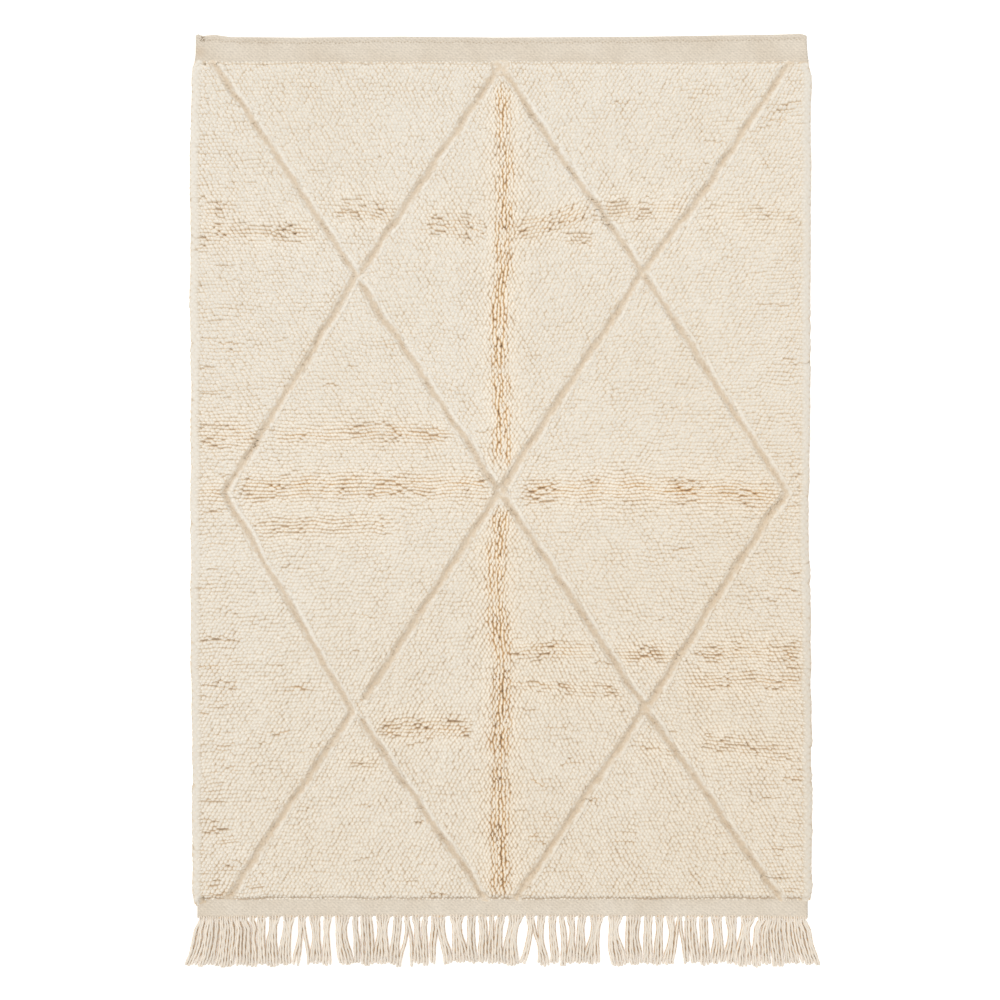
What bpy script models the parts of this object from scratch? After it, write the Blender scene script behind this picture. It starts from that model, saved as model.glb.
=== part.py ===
"""A wool rug lying flat: one woven piece with plain flat-woven ends and a raised pile that sunken
lines part into lozenges, and a fringe of warp yarns along its lower end.

Metres, +Z up, +Y towards the hemmed end. The origin is on the floor, under the middle of the
whole rug with its fringe.
"""

import math
import random
from collections import namedtuple

import bmesh
import bpy
import numpy as np
from mathutils import Vector, noise
from mathutils.geometry import delaunay_2d_cdt

# Heights above the floor.
WEAVE_TOP = 0.004
HEM_FOLD_TOP = 0.0065
HEM_RIM = 0.0032
PILE_TOP = 0.021
PILE_RIM = 0.0075

# The wall under the rim leans in by this share of its height at the long edges.
HALF_WIDTH = 0.850
UNDERCUT = 0.5

# The pile between the flat-woven ends, and how its edges round over.
PILE_UPPER_Y = 1.204
PILE_LOWER_Y = -1.092
SIDE_ROUND = 0.020
END_ROUND = 0.014
SIDE_RING_INSETS = (0.007, 0.019)
END_RING_INSETS = (0.0, 0.004, 0.013)

# The hem at the upper end is folded under and stitched along this distance from its edge.
HEM_FOLD_DEPTH = 0.020
HEM_FOLD_STEP = 0.005

# Locks of wool at the rim, as a zigzag of the pile's outline.
LOCK_PITCH = 0.024
SIDE_LOCK_REACH = (0.0015, 0.0040)
END_LOCK_REACH = (0.0006, 0.0020)
END_LOCKS_HALF_WIDTH = 0.826
LOCK_SEED = 21

# Lines without pile: a flat floor, a steep wall and a rounded shoulder, from the middle outwards.
GROOVE_FLOOR = 0.005
GROOVE_SHOULDER = 0.018
GROOVE_OFFSETS = (0.005, 0.009, 0.018)
GROOVE_SPACING = 0.060
MEETING_TRIM = 0.020
MEETING_TRIM_SHARE = 0.8
PILE_CORNERS = ((0.023, 0.0), (-0.023, 0.0), (0.0, 0.035), (0.0, -0.035))

# Soft unevenness of the pile, and the spacing of the points that carry it.
LUMP_HEIGHT = 0.0016
LUMP_SCALE = 11.0
SCATTER_PITCH = 0.056
SCATTER_JITTER = 0.010
SCATTER_CLEARANCE = 0.018
SCATTER_SEED = 5
EDGE_SPACING = 0.060
CREASE_SPACING = 0.055

# The fringe: a strip parted from the rug's lower edge, and the yarns fused to it.
PARTING = 0.0003
STRIP_DEPTH = 0.008
STRIP_HEIGHT = 0.0038
STRAND_COUNT = 180
STRAND_WIDTH = 0.0064
STRAND_CROWN = 0.0030
STRAND_HEIGHT = 0.0050
STRAND_SPACING = 0.0072
STRAND_ROWS = (0.022, 0.048, 0.076, 0.104)
STRAND_REACH = 0.1336
STRAND_SHORTEST = 0.116
LONGEST_STRAND = 62
TIP_STEP = 0.007
ROOT_CLOSING = 0.84
BUNCH_SIZES = (2, 3, 3, 4, 5)
BUNCH_SWAY = 0.010
BUNCH_LEAN = 0.012
FAN_START_X = 0.68
FAN_SPREAD = 0.050
FRINGE_SEED = 8

# Both long edges, from the upper end down.
Edge = namedtuple("Edge", "y left right")
EDGES = (
    Edge(1.262, -0.8420, 0.8320),
    Edge(1.218, -0.8425, 0.8350),
    Edge(1.195, -0.8470, 0.8390),
    Edge(1.160, -0.8530, 0.8440),
    Edge(0.823, -0.8570, 0.8435),
    Edge(0.550, -0.8585, 0.8420),
    Edge(0.276, -0.8530, 0.8420),
    Edge(0.000, -0.8555, 0.8365),
    Edge(-0.273, -0.8555, 0.8420),
    Edge(-0.547, -0.8530, 0.8445),
    Edge(-0.821, -0.8500, 0.8470),
    Edge(-1.067, -0.8495, 0.8460),
    Edge(-1.100, -0.8470, 0.8420),
    Edge(-1.135, -0.8390, 0.8365),
)

# The upper edge, a little wavy, and the lower one that the fringe hangs from.
End = namedtuple("End", "x y")
UPPER_END = (
    End(-0.838, 1.2740),
    End(-0.828, 1.2815),
    End(-0.776, 1.2764),
    End(-0.557, 1.2682),
    End(-0.282, 1.2709),
    End(-0.008, 1.2682),
    End(0.403, 1.2709),
    End(0.760, 1.2764),
    End(0.814, 1.2792),
    End(0.827, 1.2730),
)
LOWER_END = (
    End(-0.8375, -1.1430),
    End(-0.6000, -1.1390),
    End(0.0000, -1.1370),
    End(0.6000, -1.1390),
    End(0.8350, -1.1430),
)

# Where the lines of the lozenge lattice meet or end, and the lines as runs of these places.
LATTICE = {
    "A": (-0.7965, 1.2040),
    "B": (-0.0055, 1.1914),
    "C": (0.7883, 1.2040),
    "D": (-0.3990, 0.6190),
    "E": (0.3825, 0.6250),
    "F": (-0.7600, 0.0220),
    "G": (-0.0090, 0.0280),
    "H": (0.7700, 0.0245),
    "I": (-0.4060, -0.5690),
    "J": (0.3885, -0.5670),
    "K": (-0.7568, -1.0900),
    "L": (-0.0466, -1.0900),
    "M": (0.0302, -1.0900),
    "N": (0.7568, -1.0900),
}
LATTICE_LINES = ("ADBEC", "DFIGD", "EGJHE", "KIL", "MJN")
INNER_MEETINGS = "DEFGHIJ"

# Creases left by folding. Each runs from one end to the other and bows by its sag half way.
Crease = namedtuple("Crease", "start_x start_y end_x end_y sag depth half_width")
CREASES = (
    Crease(-0.004, 1.150, -0.012, 0.120, 0.012, 0.0055, 0.024),
    Crease(-0.012, -0.060, 0.004, -1.050, -0.010, 0.0055, 0.024),
    Crease(-0.835, 0.775, -0.490, 0.760, 0.006, 0.0035, 0.028),
    Crease(-0.330, 0.765, -0.040, 0.735, 0.010, 0.0035, 0.028),
    Crease(0.040, 0.735, 0.600, 0.805, 0.030, 0.0035, 0.028),
    Crease(-0.835, 0.190, -0.100, 0.165, 0.012, 0.0030, 0.028),
    Crease(-0.835, 0.045, -0.060, 0.050, -0.012, 0.0040, 0.028),
    Crease(0.060, 0.060, 0.830, 0.030, 0.010, 0.0045, 0.028),
    Crease(-0.695, -0.080, -0.235, -0.090, 0.008, 0.0030, 0.028),
    Crease(0.010, -0.440, 0.830, -0.410, -0.012, 0.0035, 0.028),
    Crease(-0.835, -0.500, -0.330, -0.510, 0.010, 0.0025, 0.030),
    Crease(-0.335, -0.640, -0.035, -0.630, 0.010, 0.0030, 0.026),
)

PILE_COLOUR = (0.80, 0.73, 0.62)
YARN_COLOUR = (0.84, 0.77, 0.67)
WOOL_ROUGHNESS = 0.95

INSIDE_TRIANGLES = 1
NEAREST_POINTS = 0.0008
SHARP_ANGLE = math.radians(50)


def clear_scene():
    for item in list(bpy.data.objects):
        bpy.data.objects.remove(item, do_unlink=True)


def wool(name, colour):
    material = bpy.data.materials.new(name)
    material.use_nodes = True
    shader = material.node_tree.nodes["Principled BSDF"]
    shader.inputs["Base Color"].default_value = (*colour, 1.0)
    shader.inputs["Roughness"].default_value = WOOL_ROUGHNESS
    shader.inputs["Metallic"].default_value = 0.0
    return material


def add_object(name, mesh, material, collection):
    mesh.materials.append(material)
    mesh.shade_smooth()
    mesh.set_sharp_from_angle(angle=SHARP_ANGLE)
    collection.objects.link(bpy.data.objects.new(name, mesh))


def lock_zigzag(low, high, reach, seed):
    """Places along an edge and how far the edge reaches out there, out and in by turns."""
    rng = random.Random(seed)
    steps = round((high - low) / LOCK_PITCH)
    places = np.linspace(low, high, steps + 1)
    signs = [1 if step % 2 else -1 for step in range(steps + 1)]
    reaches = [sign * rng.uniform(*reach) for sign in signs]
    return places, np.array(reaches)


LEFT_LOCKS = lock_zigzag(PILE_LOWER_Y, PILE_UPPER_Y, SIDE_LOCK_REACH, LOCK_SEED)
RIGHT_LOCKS = lock_zigzag(PILE_LOWER_Y, PILE_UPPER_Y, SIDE_LOCK_REACH, LOCK_SEED + 1)
END_LOCK_SPAN = (-END_LOCKS_HALF_WIDTH, END_LOCKS_HALF_WIDTH)
UPPER_LOCKS = lock_zigzag(*END_LOCK_SPAN, END_LOCK_REACH, LOCK_SEED + 2)
LOWER_LOCKS = lock_zigzag(*END_LOCK_SPAN, END_LOCK_REACH, LOCK_SEED + 3)


def left_edge(y):
    places, reaches = LEFT_LOCKS
    smooth = np.interp(-y, [-row.y for row in EDGES], [row.left for row in EDGES])
    return smooth - np.interp(y, places, reaches, left=0.0, right=0.0)


def right_edge(y):
    places, reaches = RIGHT_LOCKS
    smooth = np.interp(-y, [-row.y for row in EDGES], [row.right for row in EDGES])
    return smooth + np.interp(y, places, reaches, left=0.0, right=0.0)


def upper_edge(x):
    return np.interp(x, [row.x for row in UPPER_END], [row.y for row in UPPER_END])


def lower_edge(x):
    return np.interp(x, [row.x for row in LOWER_END], [row.y for row in LOWER_END])


def pile_upper_edge(x):
    return PILE_UPPER_Y + np.interp(x, *UPPER_LOCKS)


def pile_lower_edge(x):
    return PILE_LOWER_Y - np.interp(x, *LOWER_LOCKS)


def evenly(low, high, spacing):
    return np.linspace(low, high, max(2, round(abs(high - low) / spacing) + 1))


def groove_paths():
    """One straight run of points for each side of a lozenge."""
    for line in LATTICE_LINES:
        for start, end in zip(line, line[1:]):
            yield np.array(LATTICE[start]), np.array(LATTICE[end])


def crease_path(crease, spacing):
    start = np.array((crease.start_x, crease.start_y))
    end = np.array((crease.end_x, crease.end_y))
    length = np.linalg.norm(end - start)
    sideways = np.array((start[1] - end[1], end[0] - start[0])) / length
    shares = evenly(0.0, 1.0, spacing / length)
    bow = crease.sag * np.sin(math.pi * shares)
    return start + np.outer(shares, end - start) + np.outer(bow, sideways)


def distance_to_run(points, start, end):
    """Distance in plan from each point to a straight run."""
    run = end - start
    shares = np.clip((points - start) @ run / (run @ run), 0.0, 1.0)
    nearest = start + np.outer(shares, run)
    return np.linalg.norm(points - nearest, axis=1)


def distance_to_path(points, path):
    runs = [distance_to_run(points, a, b) for a, b in zip(path, path[1:])]
    return np.min(runs, axis=0)


def rounded(share):
    """0 to 1 along a quarter of a circle."""
    share = np.clip(share, 0.0, 1.0)
    return np.sqrt(1.0 - (1.0 - share) ** 2)


def groove_distance(points):
    return np.min([distance_to_run(points, a, b) for a, b in groove_paths()], axis=0)


def groove_share(points):
    """0 on a groove's floor, 1 on full pile."""
    past_floor = groove_distance(points) - GROOVE_FLOOR
    return rounded(past_floor / (GROOVE_SHOULDER - GROOVE_FLOOR))


def end_share(points):
    """0 on the flat-woven ends, 1 on full pile."""
    x, y = points.T
    nearest = np.minimum(pile_upper_edge(x) - y, y - pile_lower_edge(x))
    return rounded(nearest / END_ROUND)


def side_share(points):
    """0 at the rug's long edges, 1 on full pile."""
    x, y = points.T
    nearest = np.minimum(x - left_edge(y), right_edge(y) - x)
    return rounded(nearest / SIDE_ROUND)


def crease_dip(points):
    dip = np.zeros(len(points))
    for crease in CREASES:
        reach = distance_to_path(points, crease_path(crease, CREASE_SPACING))
        dip = np.maximum(dip, crease.depth * np.exp(-((reach / crease.half_width) ** 2)))
    return dip


def lumps(points):
    waves = [noise.noise(Vector((x, y, 0.0)) * LUMP_SCALE) for x, y in points]
    return LUMP_HEIGHT * np.array(waves)


def weave_height(points):
    """The flat weave, thicker where the upper end is folded under."""
    x, y = points.T
    past_stitches = y - (upper_edge(x) - HEM_FOLD_DEPTH)
    folded = np.clip(past_stitches / HEM_FOLD_STEP, 0.0, 1.0)
    return WEAVE_TOP + (HEM_FOLD_TOP - WEAVE_TOP) * folded


def top_height(points):
    standing = PILE_TOP + lumps(points) - crease_dip(points)
    at_rim = PILE_RIM + (standing - PILE_RIM) * side_share(points)
    weave = weave_height(points)
    share = np.minimum(groove_share(points), end_share(points))
    return weave + (at_rim - weave) * share


def rim_height(point):
    """The height of the rug's widest line above the floor."""
    on_pile = pile_lower_edge(point[0]) < point[1] < pile_upper_edge(point[0])
    return PILE_RIM if on_pile else HEM_RIM


def rug_outline():
    """Counter-clockwise in plan from the upper left corner."""
    hem_low = evenly(LOWER_END[0].y, PILE_LOWER_Y, LOCK_PITCH)[1:-1]
    hem_high = evenly(PILE_UPPER_Y, EDGES[0].y, LOCK_PITCH)[1:]
    left_ys = np.concatenate((hem_low, LEFT_LOCKS[0], hem_high))
    right_ys = np.concatenate((hem_low, RIGHT_LOCKS[0], hem_high))
    lower_xs = evenly(LOWER_END[0].x, LOWER_END[-1].x, EDGE_SPACING)
    lower_xs = np.union1d(np.round(lower_xs, 4), [row.x for row in LOWER_END])
    upper_xs = evenly(UPPER_END[0].x, UPPER_END[-1].x, EDGE_SPACING)
    upper_xs = np.union1d(np.round(upper_xs, 4), [row.x for row in UPPER_END])
    left = [(left_edge(y), y) for y in left_ys[::-1]]
    lower = [(x, lower_edge(x)) for x in lower_xs]
    right = [(right_edge(y), y) for y in right_ys]
    upper = [(x, upper_edge(x)) for x in upper_xs[::-1]]
    return left + lower + right + upper


def groove_chains():
    """Lines beside the middle of each groove, where its wall turns, short of the meeting places."""
    for start, end in groove_paths():
        run = end - start
        length = np.linalg.norm(run)
        sideways = np.array((-run[1], run[0])) / length
        for offset in GROOVE_OFFSETS:
            trim = (MEETING_TRIM + MEETING_TRIM_SHARE * offset) / length
            shares = evenly(trim, 1.0 - trim, GROOVE_SPACING / length)
            middle = start + np.outer(shares, run)
            yield middle + sideways * offset
            yield middle - sideways * offset


def meeting_points():
    """The middle of each meeting place, and the pile's corners round those inside the pile."""
    middles = [np.array(place) for place in LATTICE.values()]
    inner = [np.array(LATTICE[name]) for name in INNER_MEETINGS]
    corners = [middle + np.array(corner) for middle in inner for corner in PILE_CORNERS]
    return middles + corners


def side_chains():
    ys = evenly(PILE_LOWER_Y + END_ROUND, PILE_UPPER_Y - END_ROUND, EDGE_SPACING)
    for inset in SIDE_RING_INSETS:
        yield np.array([(left_edge(y) + inset, y) for y in ys])
        yield np.array([(right_edge(y) - inset, y) for y in ys])


def end_chains():
    for inset in END_RING_INSETS:
        yield np.array([(x, pile_upper_edge(x) - inset) for x in UPPER_LOCKS[0]])
        yield np.array([(x, pile_lower_edge(x) + inset) for x in LOWER_LOCKS[0]])


def hem_chains():
    xs = evenly(UPPER_END[0].x, UPPER_END[-1].x, EDGE_SPACING)[1:-1]
    for drop in (HEM_FOLD_DEPTH, HEM_FOLD_DEPTH - HEM_FOLD_STEP):
        yield np.array([(x, upper_edge(x) - drop) for x in xs])


def crease_chains():
    """The bottom line of each crease, broken where it would cross a groove."""
    for crease in CREASES:
        path = crease_path(crease, CREASE_SPACING)
        on_pile = groove_distance(path) > CREASE_SPACING / 2
        breaks = np.flatnonzero(np.diff(on_pile.astype(int))) + 1
        for stretch, kept in zip(np.split(path, breaks), np.split(on_pile, breaks)):
            if kept[0]:
                yield stretch


def scattered_points(taken):
    """Jittered points in staggered rows, clear of the points already taken."""
    rng = random.Random(SCATTER_SEED)
    row_pitch = SCATTER_PITCH * math.sqrt(3) / 2
    points = []
    for row, y in enumerate(np.arange(PILE_LOWER_Y, PILE_UPPER_Y, row_pitch)):
        stagger = SCATTER_PITCH / 2 if row % 2 else 0.0
        for x in np.arange(EDGES[0].left + stagger, EDGES[0].right, SCATTER_PITCH):
            place = np.array((x, y)) + [rng.uniform(-1, 1) * SCATTER_JITTER for _ in range(2)]
            if np.min(np.linalg.norm(taken - place, axis=1)) > SCATTER_CLEARANCE:
                points.append(place)
    in_grooves = groove_share(np.array(points)) < 1.0
    near_sides = side_share(np.array(points)) < 1.0
    near_ends = end_share(np.array(points)) < 1.0
    dropped = in_grooves | near_sides | near_ends
    return [place for place, drop in zip(points, dropped) if not drop]


def plan_mesh(outline, chains):
    """A flat mesh of triangles inside the outline that keeps every chain as edges."""
    points = [Vector(place) for place in outline]
    edges = [(i, (i + 1) % len(outline)) for i in range(len(outline))]
    for chain in chains:
        first = len(points)
        points += [Vector(place) for place in chain]
        edges += [(i, i + 1) for i in range(first, len(points) - 1)]
    points += [Vector(place) for place in meeting_points()]
    taken = np.array([tuple(place) for place in points])
    points += [Vector(place) for place in scattered_points(taken)]
    result = delaunay_2d_cdt(points, edges, [], INSIDE_TRIANGLES, NEAREST_POINTS)
    return result[0], result[2]


def build_rug(collection):
    chains = [*groove_chains(), *side_chains(), *end_chains(), *hem_chains(), *crease_chains()]
    flat_points, triangles = plan_mesh(rug_outline(), chains)
    plan = np.array([tuple(place) for place in flat_points])
    heights = top_height(plan)
    mesh = bpy.data.meshes.new("rug")
    mesh.from_pydata([(*place, height) for place, height in zip(plan, heights)], [], triangles)

    bm = bmesh.new()
    bm.from_mesh(mesh)
    bmesh.ops.recalc_face_normals(bm, faces=bm.faces)
    rim = [edge for edge in bm.edges if edge.is_boundary]
    for vert in {vert for edge in rim for vert in edge.verts}:
        vert.co.z = rim_height(vert.co)
    wall = bmesh.ops.extrude_edge_only(bm, edges=rim)["geom"]
    for vert in (item for item in wall if isinstance(item, bmesh.types.BMVert)):
        vert.co.x *= 1.0 - vert.co.z * UNDERCUT / HALF_WIDTH
        vert.co.z = 0.0
    foot = [item for item in wall if isinstance(item, bmesh.types.BMEdge) and item.is_boundary]
    bmesh.ops.triangle_fill(bm, edges=foot, use_beauty=True)
    bmesh.ops.recalc_face_normals(bm, faces=bm.faces)
    bm.to_mesh(mesh)
    bm.free()
    add_object("rug", mesh, wool("pile_wool", PILE_COLOUR), collection)


def bunches(rng):
    """The strands of each bunch, from the left."""
    first = 0
    while first < STRAND_COUNT:
        last = min(first + rng.choice(BUNCH_SIZES), STRAND_COUNT)
        yield np.arange(first, last)
        first = last


def spread(places):
    """Strands pushed apart, from the left and from the right by half, to their spacing."""
    rightwards = places.copy()
    leftwards = places.copy()
    for index in range(1, len(places)):
        nearest = rightwards[index - 1] + STRAND_SPACING
        rightwards[index] = max(rightwards[index], nearest)
    for index in range(len(places) - 2, -1, -1):
        nearest = leftwards[index + 1] - STRAND_SPACING
        leftwards[index] = min(leftwards[index], nearest)
    return (rightwards + leftwards) / 2


def fan_out(x):
    """How far past its root a corner strand's tip reaches."""
    share = np.clip((np.abs(x) - FAN_START_X) / (-LOWER_END[0].x - FAN_START_X), 0.0, 1.0)
    return np.sign(x) * FAN_SPREAD * share ** 2


def strand_routes():
    """For each strand, the x of its middle and the distance from the strip, row by row."""
    rng = random.Random(FRINGE_SEED)
    low, high = LOWER_END[0].x + STRAND_WIDTH, LOWER_END[-1].x - STRAND_WIDTH
    roots = np.linspace(low, high, STRAND_COUNT)
    rows = np.array([0.0, *STRAND_ROWS, STRAND_REACH])
    shares = rows / STRAND_REACH
    closed = STRAND_SPACING / (roots[1] - roots[0])
    closing = np.interp(shares, [0.0, 0.5], [ROOT_CLOSING, closed])
    middles = np.zeros((len(rows), STRAND_COUNT))
    reaches = np.zeros(STRAND_COUNT)
    for members in bunches(rng):
        centre = roots[members].mean()
        sway = rng.uniform(-BUNCH_SWAY, BUNCH_SWAY)
        lean = rng.uniform(-BUNCH_LEAN, BUNCH_LEAN)
        drift = centre + sway * np.sin(math.pi * shares) + lean * shares
        middles[:, members] = drift[:, None] + np.outer(closing, roots[members] - centre)
        tip = rng.uniform(STRAND_SHORTEST + TIP_STEP, STRAND_REACH)
        reaches[members] = [tip - rng.uniform(0.0, TIP_STEP) for _ in members]
    middles += np.outer(shares ** 2, fan_out(roots))
    middles[1:] = [spread(row) for row in middles[1:]]
    reaches[LONGEST_STRAND] = STRAND_REACH
    last_stretch = (reaches - rows[-2]) / (rows[-1] - rows[-2])
    middles[-1] = middles[-2] + (middles[-1] - middles[-2]) * last_stretch
    drops = np.tile(rows[:, None], (1, STRAND_COUNT))
    drops[-1] = reaches
    return middles, drops


def strip_columns(roots):
    """The x of every upright edge on the strip's front, two for each strand and one at each end."""
    half = STRAND_WIDTH / 2
    edges = [LOWER_END[0].x]
    for root in roots:
        edges += [root - half, root + half]
    edges.append(LOWER_END[-1].x)
    return edges


def shape_strand(bm, face, middles, fronts):
    """Pulls a strand out of its root face, row by row, level on the floor."""
    for row in range(1, len(middles)):
        step_x = middles[row] - middles[row - 1]
        step_y = fronts[row] - fronts[row - 1]
        length = math.hypot(step_x, step_y)
        across = Vector((-step_y, step_x, 0.0)) / length
        centre = Vector((middles[row], fronts[row], 0.0))
        face = bmesh.ops.extrude_discrete_faces(bm, faces=[face])["faces"][0]
        for vert in face.verts:
            upper = vert.co.z > STRIP_HEIGHT / 2
            side = math.copysign(1.0, vert.co.x - middles[row - 1])
            half = (STRAND_CROWN if upper else STRAND_WIDTH) / 2
            vert.co = centre + across * side * half
            vert.co.z = STRAND_HEIGHT if upper else 0.0


def build_fringe(collection):
    middles, drops = strand_routes()
    columns = strip_columns(middles[0])

    bm = bmesh.new()
    grid = bmesh.ops.create_grid(bm, x_segments=len(columns) - 1, y_segments=1, size=1.0)
    bm.verts.index_update()
    in_order = sorted(grid["verts"], key=lambda vert: (vert.co.y, vert.co.x))
    for index, vert in enumerate(in_order):
        x = columns[index % len(columns)]
        height = STRIP_HEIGHT if index >= len(columns) else 0.0
        vert.co = (x, lower_edge(x) - PARTING - STRIP_DEPTH, height)
    front = sorted(bm.faces, key=lambda face: face.calc_center_median().x)

    back = bmesh.ops.extrude_face_region(bm, geom=list(bm.faces), use_keep_orig=True)["geom"]
    for vert in (item for item in back if isinstance(item, bmesh.types.BMVert)):
        vert.co.y += STRIP_DEPTH
    bmesh.ops.recalc_face_normals(bm, faces=bm.faces)

    strand_faces = front[1::2]
    for index, face in enumerate(strand_faces):
        start = lower_edge(middles[0][index]) - PARTING - STRIP_DEPTH
        fronts = start - drops[:, index]
        shape_strand(bm, face, middles[:, index], fronts)
    bmesh.ops.recalc_face_normals(bm, faces=bm.faces)

    mesh = bpy.data.meshes.new("fringe")
    bm.to_mesh(mesh)
    bm.free()
    add_object("fringe", mesh, wool("fringe_yarn", YARN_COLOUR), collection)


def main():
    clear_scene()
    collection = bpy.data.collections.new("beni_ourain_rug")
    bpy.context.scene.collection.children.link(collection)
    build_rug(collection)
    build_fringe(collection)


main()
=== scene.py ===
"""A wool rug seen from above: standing tufts of pile with sunken lozenge lines, flat-woven ends,
a stitched hem and a fringe of twisted yarns.

Metres, +Z up, +Y towards the hemmed end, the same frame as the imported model.
"""

import math
import random
from collections import namedtuple

import bmesh
import bpy
import numpy as np
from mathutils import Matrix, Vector, noise


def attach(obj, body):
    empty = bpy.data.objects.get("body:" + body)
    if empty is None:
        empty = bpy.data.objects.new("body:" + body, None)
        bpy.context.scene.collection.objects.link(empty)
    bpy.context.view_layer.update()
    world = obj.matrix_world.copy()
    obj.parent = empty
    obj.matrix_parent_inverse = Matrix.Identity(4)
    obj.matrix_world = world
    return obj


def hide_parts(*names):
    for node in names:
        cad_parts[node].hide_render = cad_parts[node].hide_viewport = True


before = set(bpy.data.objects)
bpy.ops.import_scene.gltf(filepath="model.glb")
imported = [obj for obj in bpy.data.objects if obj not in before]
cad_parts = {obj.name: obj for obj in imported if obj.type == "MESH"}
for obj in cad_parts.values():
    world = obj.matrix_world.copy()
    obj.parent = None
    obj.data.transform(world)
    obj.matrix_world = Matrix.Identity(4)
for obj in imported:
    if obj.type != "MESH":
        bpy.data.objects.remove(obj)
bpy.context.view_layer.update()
BODY = "root"
UP = np.array((0.0, 0.0, 1.0))
TURN = 2 * math.pi

Band = namedtuple("Band", "start_x start_y end_x end_y sag lines strength")
Cut = namedtuple("Cut", "path opened")

# Heights above the floor.
WEAVE_TOP = 0.004
WEAVE_RIM = 0.0028
HEM_FOLD_TOP = 0.006
PILE_TOP = 0.0205
PILE_RIM = 0.0085

# The pile between the flat-woven ends, and how its edges round over.
PILE_UPPER_Y = 1.204
PILE_LOWER_Y = -1.0955
SIDE_ROUND = 0.022
END_ROUND = 0.024
END_LEAST = 0.14
CORNER_DROP = 0.014
CORNER_X = -0.824
CORNER_EASE = 0.012

# Both long edges from the upper end down, and both ends from the left.
EDGE_Y, LEFT_X, RIGHT_X = np.transpose((
    (1.262, -0.842, 0.832), (1.218, -0.8425, 0.835), (1.195, -0.847, 0.839),
    (1.160, -0.853, 0.844), (0.823, -0.857, 0.8435), (0.550, -0.8585, 0.842),
    (0.276, -0.853, 0.842), (0.000, -0.8555, 0.8365), (-0.273, -0.8555, 0.842),
    (-0.547, -0.853, 0.8445), (-0.821, -0.850, 0.847), (-1.067, -0.8495, 0.846),
    (-1.100, -0.847, 0.842), (-1.135, -0.839, 0.8365),
))
UPPER_X, UPPER_Y = np.transpose((
    (-0.839, 1.274), (-0.836, 1.2792), (-0.822, 1.2725), (-0.790, 1.276), (-0.745, 1.2695),
    (-0.557, 1.2682), (-0.282, 1.2709), (-0.008, 1.2682), (0.403, 1.2709), (0.760, 1.2764),
    (0.814, 1.2792), (0.827, 1.273),
))
LOWER_X, LOWER_Y = np.transpose((
    (-0.8375, -1.143), (-0.6, -1.139), (0.0, -1.137), (0.6, -1.139), (0.835, -1.143),
))

# Where the lines of the lozenge lattice meet or end, and the lines between these places.
LATTICE = {
    "A": (-0.7965, 1.204), "B": (-0.0055, 1.1914), "C": (0.7883, 1.204),
    "D": (-0.384, 0.6295), "E": (0.3825, 0.625), "F": (-0.765, 0.022),
    "G": (-0.0095, 0.0275), "H": (0.7705, 0.0245), "I": (-0.3784, -0.5388),
    "J": (0.3885, -0.567), "K": (-0.7568, -1.09), "L": (-0.0466, -1.09),
    "M": (0.031, -1.09), "N": (0.7568, -1.09), "P": (-0.401, 0.617),
    "Q": (-0.412, -0.574), "S": (-0.688, 0.1345), "T": (0.1235, 0.99),
    "U": (0.547, 0.846), "V": (-0.3839, -0.6018), "W": (-0.388, 0.5868),
}
LATTICE_LINES = ("APSFQK", "BTEH", "WGJN", "VL", "BD", "CUEGI", "HJM")
RUNS = np.array(
    [(LATTICE[a], LATTICE[b]) for line in LATTICE_LINES for a, b in zip(line, line[1:])]
)
COLUMN_BORDERS = ("APSFQK", "BDPGIQL", "BTEGJM", "CUEHJN")

# Where the pile lies low round a meeting of the lines.
OPENINGS = (
    (-0.0055, 1.1914, 0.025), (0.3825, 0.627, 0.010), (-0.006, 0.025, 0.015),
    (0.3885, -0.566, 0.016), (-0.0521, -1.0817, 0.013),
)
OPENING_RIM = 0.012
OPENING_SUNK = 0.70

# Bands of gaps between the tufts that folding has opened, in millimetres. Each runs from one end
# to the other and bows by its sag half way; its lines lie side by side.
BANDS = [Band(*row) for row in (
    (-6, 1150, 0, 960, 2, 5, 0.85), (0, 990, 1, 640, 4, 6, 0.95),
    (1, 680, -10, 345, -4, 6, 0.85), (-10, 370, -1, 78, 2, 6, 0.88),
    (1, -10, -16, -285, -8, 6, 0.98), (-14, -250, -2, -460, -6, 6, 0.90),
    (-6, -430, -12, -725, 4, 6, 0.88), (-10, -705, -6, -1085, -2, 6, 0.84),
    (-842, 735, -496, 728, 3, 6, 0.22), (-842, 805, -720, 785, 4, 6, 0.16),
    (-475, 790, -285, 770, 10, 7, 0.24), (-235, 755, -35, 735, 6, 8, 0.26),
    (12, 735, 235, 806, -18, 7, 0.41), (230, 785, 512, 790, 6, 8, 0.23),
    (520, 780, 815, 765, 6, 6, 0.16), (155, 715, 266, 705, 2, 4, 0.24),
    (-842, 180, -660, 165, 4, 8, 0.31), (-635, 172, -131, 178, 10, 6, 0.30),
    (-842, 24, -735, 22, 2, 6, 0.34), (-725, 28, -20, 36, 12, 8, 0.40),
    (-695, -80, -280, -74, 14, 6, 0.28), (45, 24, 765, 10, 14, 8, 0.44),
    (400, 24, 560, 42, -6, 1, 0.76), (550, 20, 765, 4, 2, 1, 0.62),
    (785, 10, 840, -2, 0, 8, 0.24), (12, -420, 266, -408, 4, 6, 0.29),
    (290, -425, 490, -425, 6, 5, 0.29), (515, -420, 825, -420, 8, 5, 0.30),
    (12, -500, 335, -520, -6, 4, 0.27), (485, -500, 830, -492, 8, 5, 0.28),
    (-350, -625, -75, -625, 8, 6, 0.32), (-842, -459, -690, -448, 2, 1, 0.31),
    (-640, -508, -500, -514, 2, 1, 0.34), (47, -725, 156, -794, -12, 1, 0.41),
    (-433, -308, -304, -322, 1, 1, 0.34), (366, -670, 515, -697, 4, 3, 0.20),
    (515, -655, 830, -710, 6, 6, 0.19), (-433, -712, -310, -722, 4, 3, 0.20),
)]
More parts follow.
